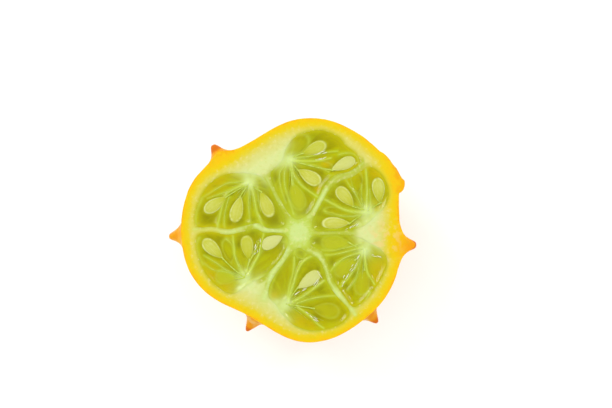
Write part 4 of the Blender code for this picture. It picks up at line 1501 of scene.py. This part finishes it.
def seed_material():
    """Moist pale seed coats with a lighter rim, greener where they lie deep."""
    seed = Finish("seed_coat")
    grain = seed.read("grain", "Vector")
    lines = seed.noise(1.0, 3.0, at=seed.stretch(grain, (3.0, 16.0, 2.0)))
    seed.colour = seed.ramp(lines, (0.3, tone(208, 210, 70)), (0.7, tone(221, 225, 124)))
    reach = seed.read("reach")
    sunk = seed.read("sunk")
    spread = seed.group("soft_patches", broad=0.3, small=1.2)
    seed.lay(tone(200, 202, 48), spread, 0.5)
    seed.lay(tone(200, 203, 52), seed.fade(reach, 0.50, 0.74), 0.35)
    seed.lay(tone(229, 236, 146), seed.fade(reach, 0.76, 0.86), seed.fade(spread, 1.2, 0.2))
    bare = seed.fade(sunk, 0.12, 0.0)
    seed.lay(tone(223, 229, 158), bare, seed.fade(reach, 1.0, 0.7), 0.6)
    seed.lay(tone(196, 201, 28), seed.fade(sunk, 0.1, 0.9), 0.95)
    pointed = seed.fade(seed.add("ShaderNodeSeparateXYZ", "X", {0: grain}), 0.0, -0.5)
    seed.lay(tone(194, 200, 28), pointed, seed.fade(sunk, 0.0, 0.3), 0.8)
    seed.lay(tone(184, 188, 20), seed.fade(reach, 0.88, 1.0), 0.7)
    return seed.done(seed.scaled(lines, 0.2, 0.3), lines, 0.05, 0.5)


def strand_material():
    """Pale, glassy strands, and nearly white on the slivers that are painted highlights."""
    strand = Finish("pale_strand")
    grain = strand.noise(1.4, 3.0)
    strand.colour = strand.ramp(grain, (0.35, tone(198, 219, 62)), (0.65, tone(218, 236, 116)))
    # Painted highlight: the glint slivers are coloured nearly white.
    strand.lay(tone(251, 254, 214), strand.read("glint"))
    return strand.done(strand.scaled(grain, 0.2, 0.25), grain, 0.05, 0.4)


def floor_material():
    """A plain, very pale matt floor."""
    floor = Finish("pale_floor")
    floor.shader.inputs["Roughness"].default_value = FLOOR_ROUGHNESS
    pale, white = (0.96, 0.96, 0.96, 1.0), (1.0, 1.0, 1.0, 1.0)
    floor.connect("Base Color", floor.ramp(floor.noise(0.01), (0.0, pale), (1.0, white)))
    return floor.material


# Floor, light and camera


def add_floor():
    """A wide plain floor under the half."""
    mesh = bpy.data.meshes.new("floor")
    side = FLOOR_WIDTH / 2.0
    corners = [(-side, -side, 0.0), (side, -side, 0.0), (side, side, 0.0), (-side, side, 0.0)]
    mesh.from_pydata(corners, [], [(0, 1, 2, 3)])
    mesh.materials.append(floor_material())
    add_object("floor", mesh)


def aim(thing, spot, at):
    """Puts a lamp or a camera at a spot and turns it to look at a point."""
    thing.location = spot
    thing.rotation_euler = (Vector(at) - Vector(spot)).to_track_quat("-Z", "Y").to_euler()


def add_lamp(name, spot, width, power):
    """A square soft lamp that looks at the cut face."""
    light = bpy.data.lights.new(name, "AREA")
    light.size = width
    light.energy = power
    aim(add_object(name, light), spot, (0.0, 0.0, CUT_HEIGHT * MM))


def light_the_room():
    """Even light from all round, and lamps that model the form and catch the wet parts."""
    world = bpy.data.worlds.new("studio")
    world.use_nodes = True
    tree = world.node_tree
    mirrored = add(tree, "ShaderNodeLightPath").outputs["Is Glossy Ray"]
    strength = add(
        tree,
        "ShaderNodeMapRange",
        {"Value": mirrored, "To Min": ROOM_LIGHT, "To Max": ROOM_GLOSS},
    )
    background = tree.nodes["Background"]
    background.inputs["Color"].default_value = (1.0, 1.0, 1.0, 1.0)
    tree.links.new(strength.outputs["Result"], background.inputs["Strength"])
    bpy.context.scene.world = world
    for name, spot, width, power in LAMPS:
        add_lamp(name, spot, width, power)


def add_camera():
    """A long lens almost straight above the cut face."""
    camera_data = bpy.data.cameras.new("camera")
    camera_data.lens = LENS
    camera = add_object("camera", camera_data)
    tilt = math.radians(CAMERA_ELEVATION)
    target = Vector((*CAMERA_TARGET, CUT_HEIGHT)) * MM
    away = Vector((0.0, -math.cos(tilt), math.sin(tilt))) * CAMERA_DISTANCE * MM
    aim(camera, target + away, target)
    bpy.context.scene.camera = camera


def build():
    """Makes every piece, the floor, the light and the camera."""
    make_soft_patches()
    make_wet_film()
    make_rind(skin_material(), flesh_material())
    jelly = jelly_material()
    for number, fan in enumerate(FANS, start=1):
        make_jelly(number, fan, jelly)
    make_seeds(seed_material())
    make_strands(strand_material())
    add_floor()
    light_the_room()
    add_camera()
    bpy.context.scene.view_settings.view_transform = "Standard"


build()
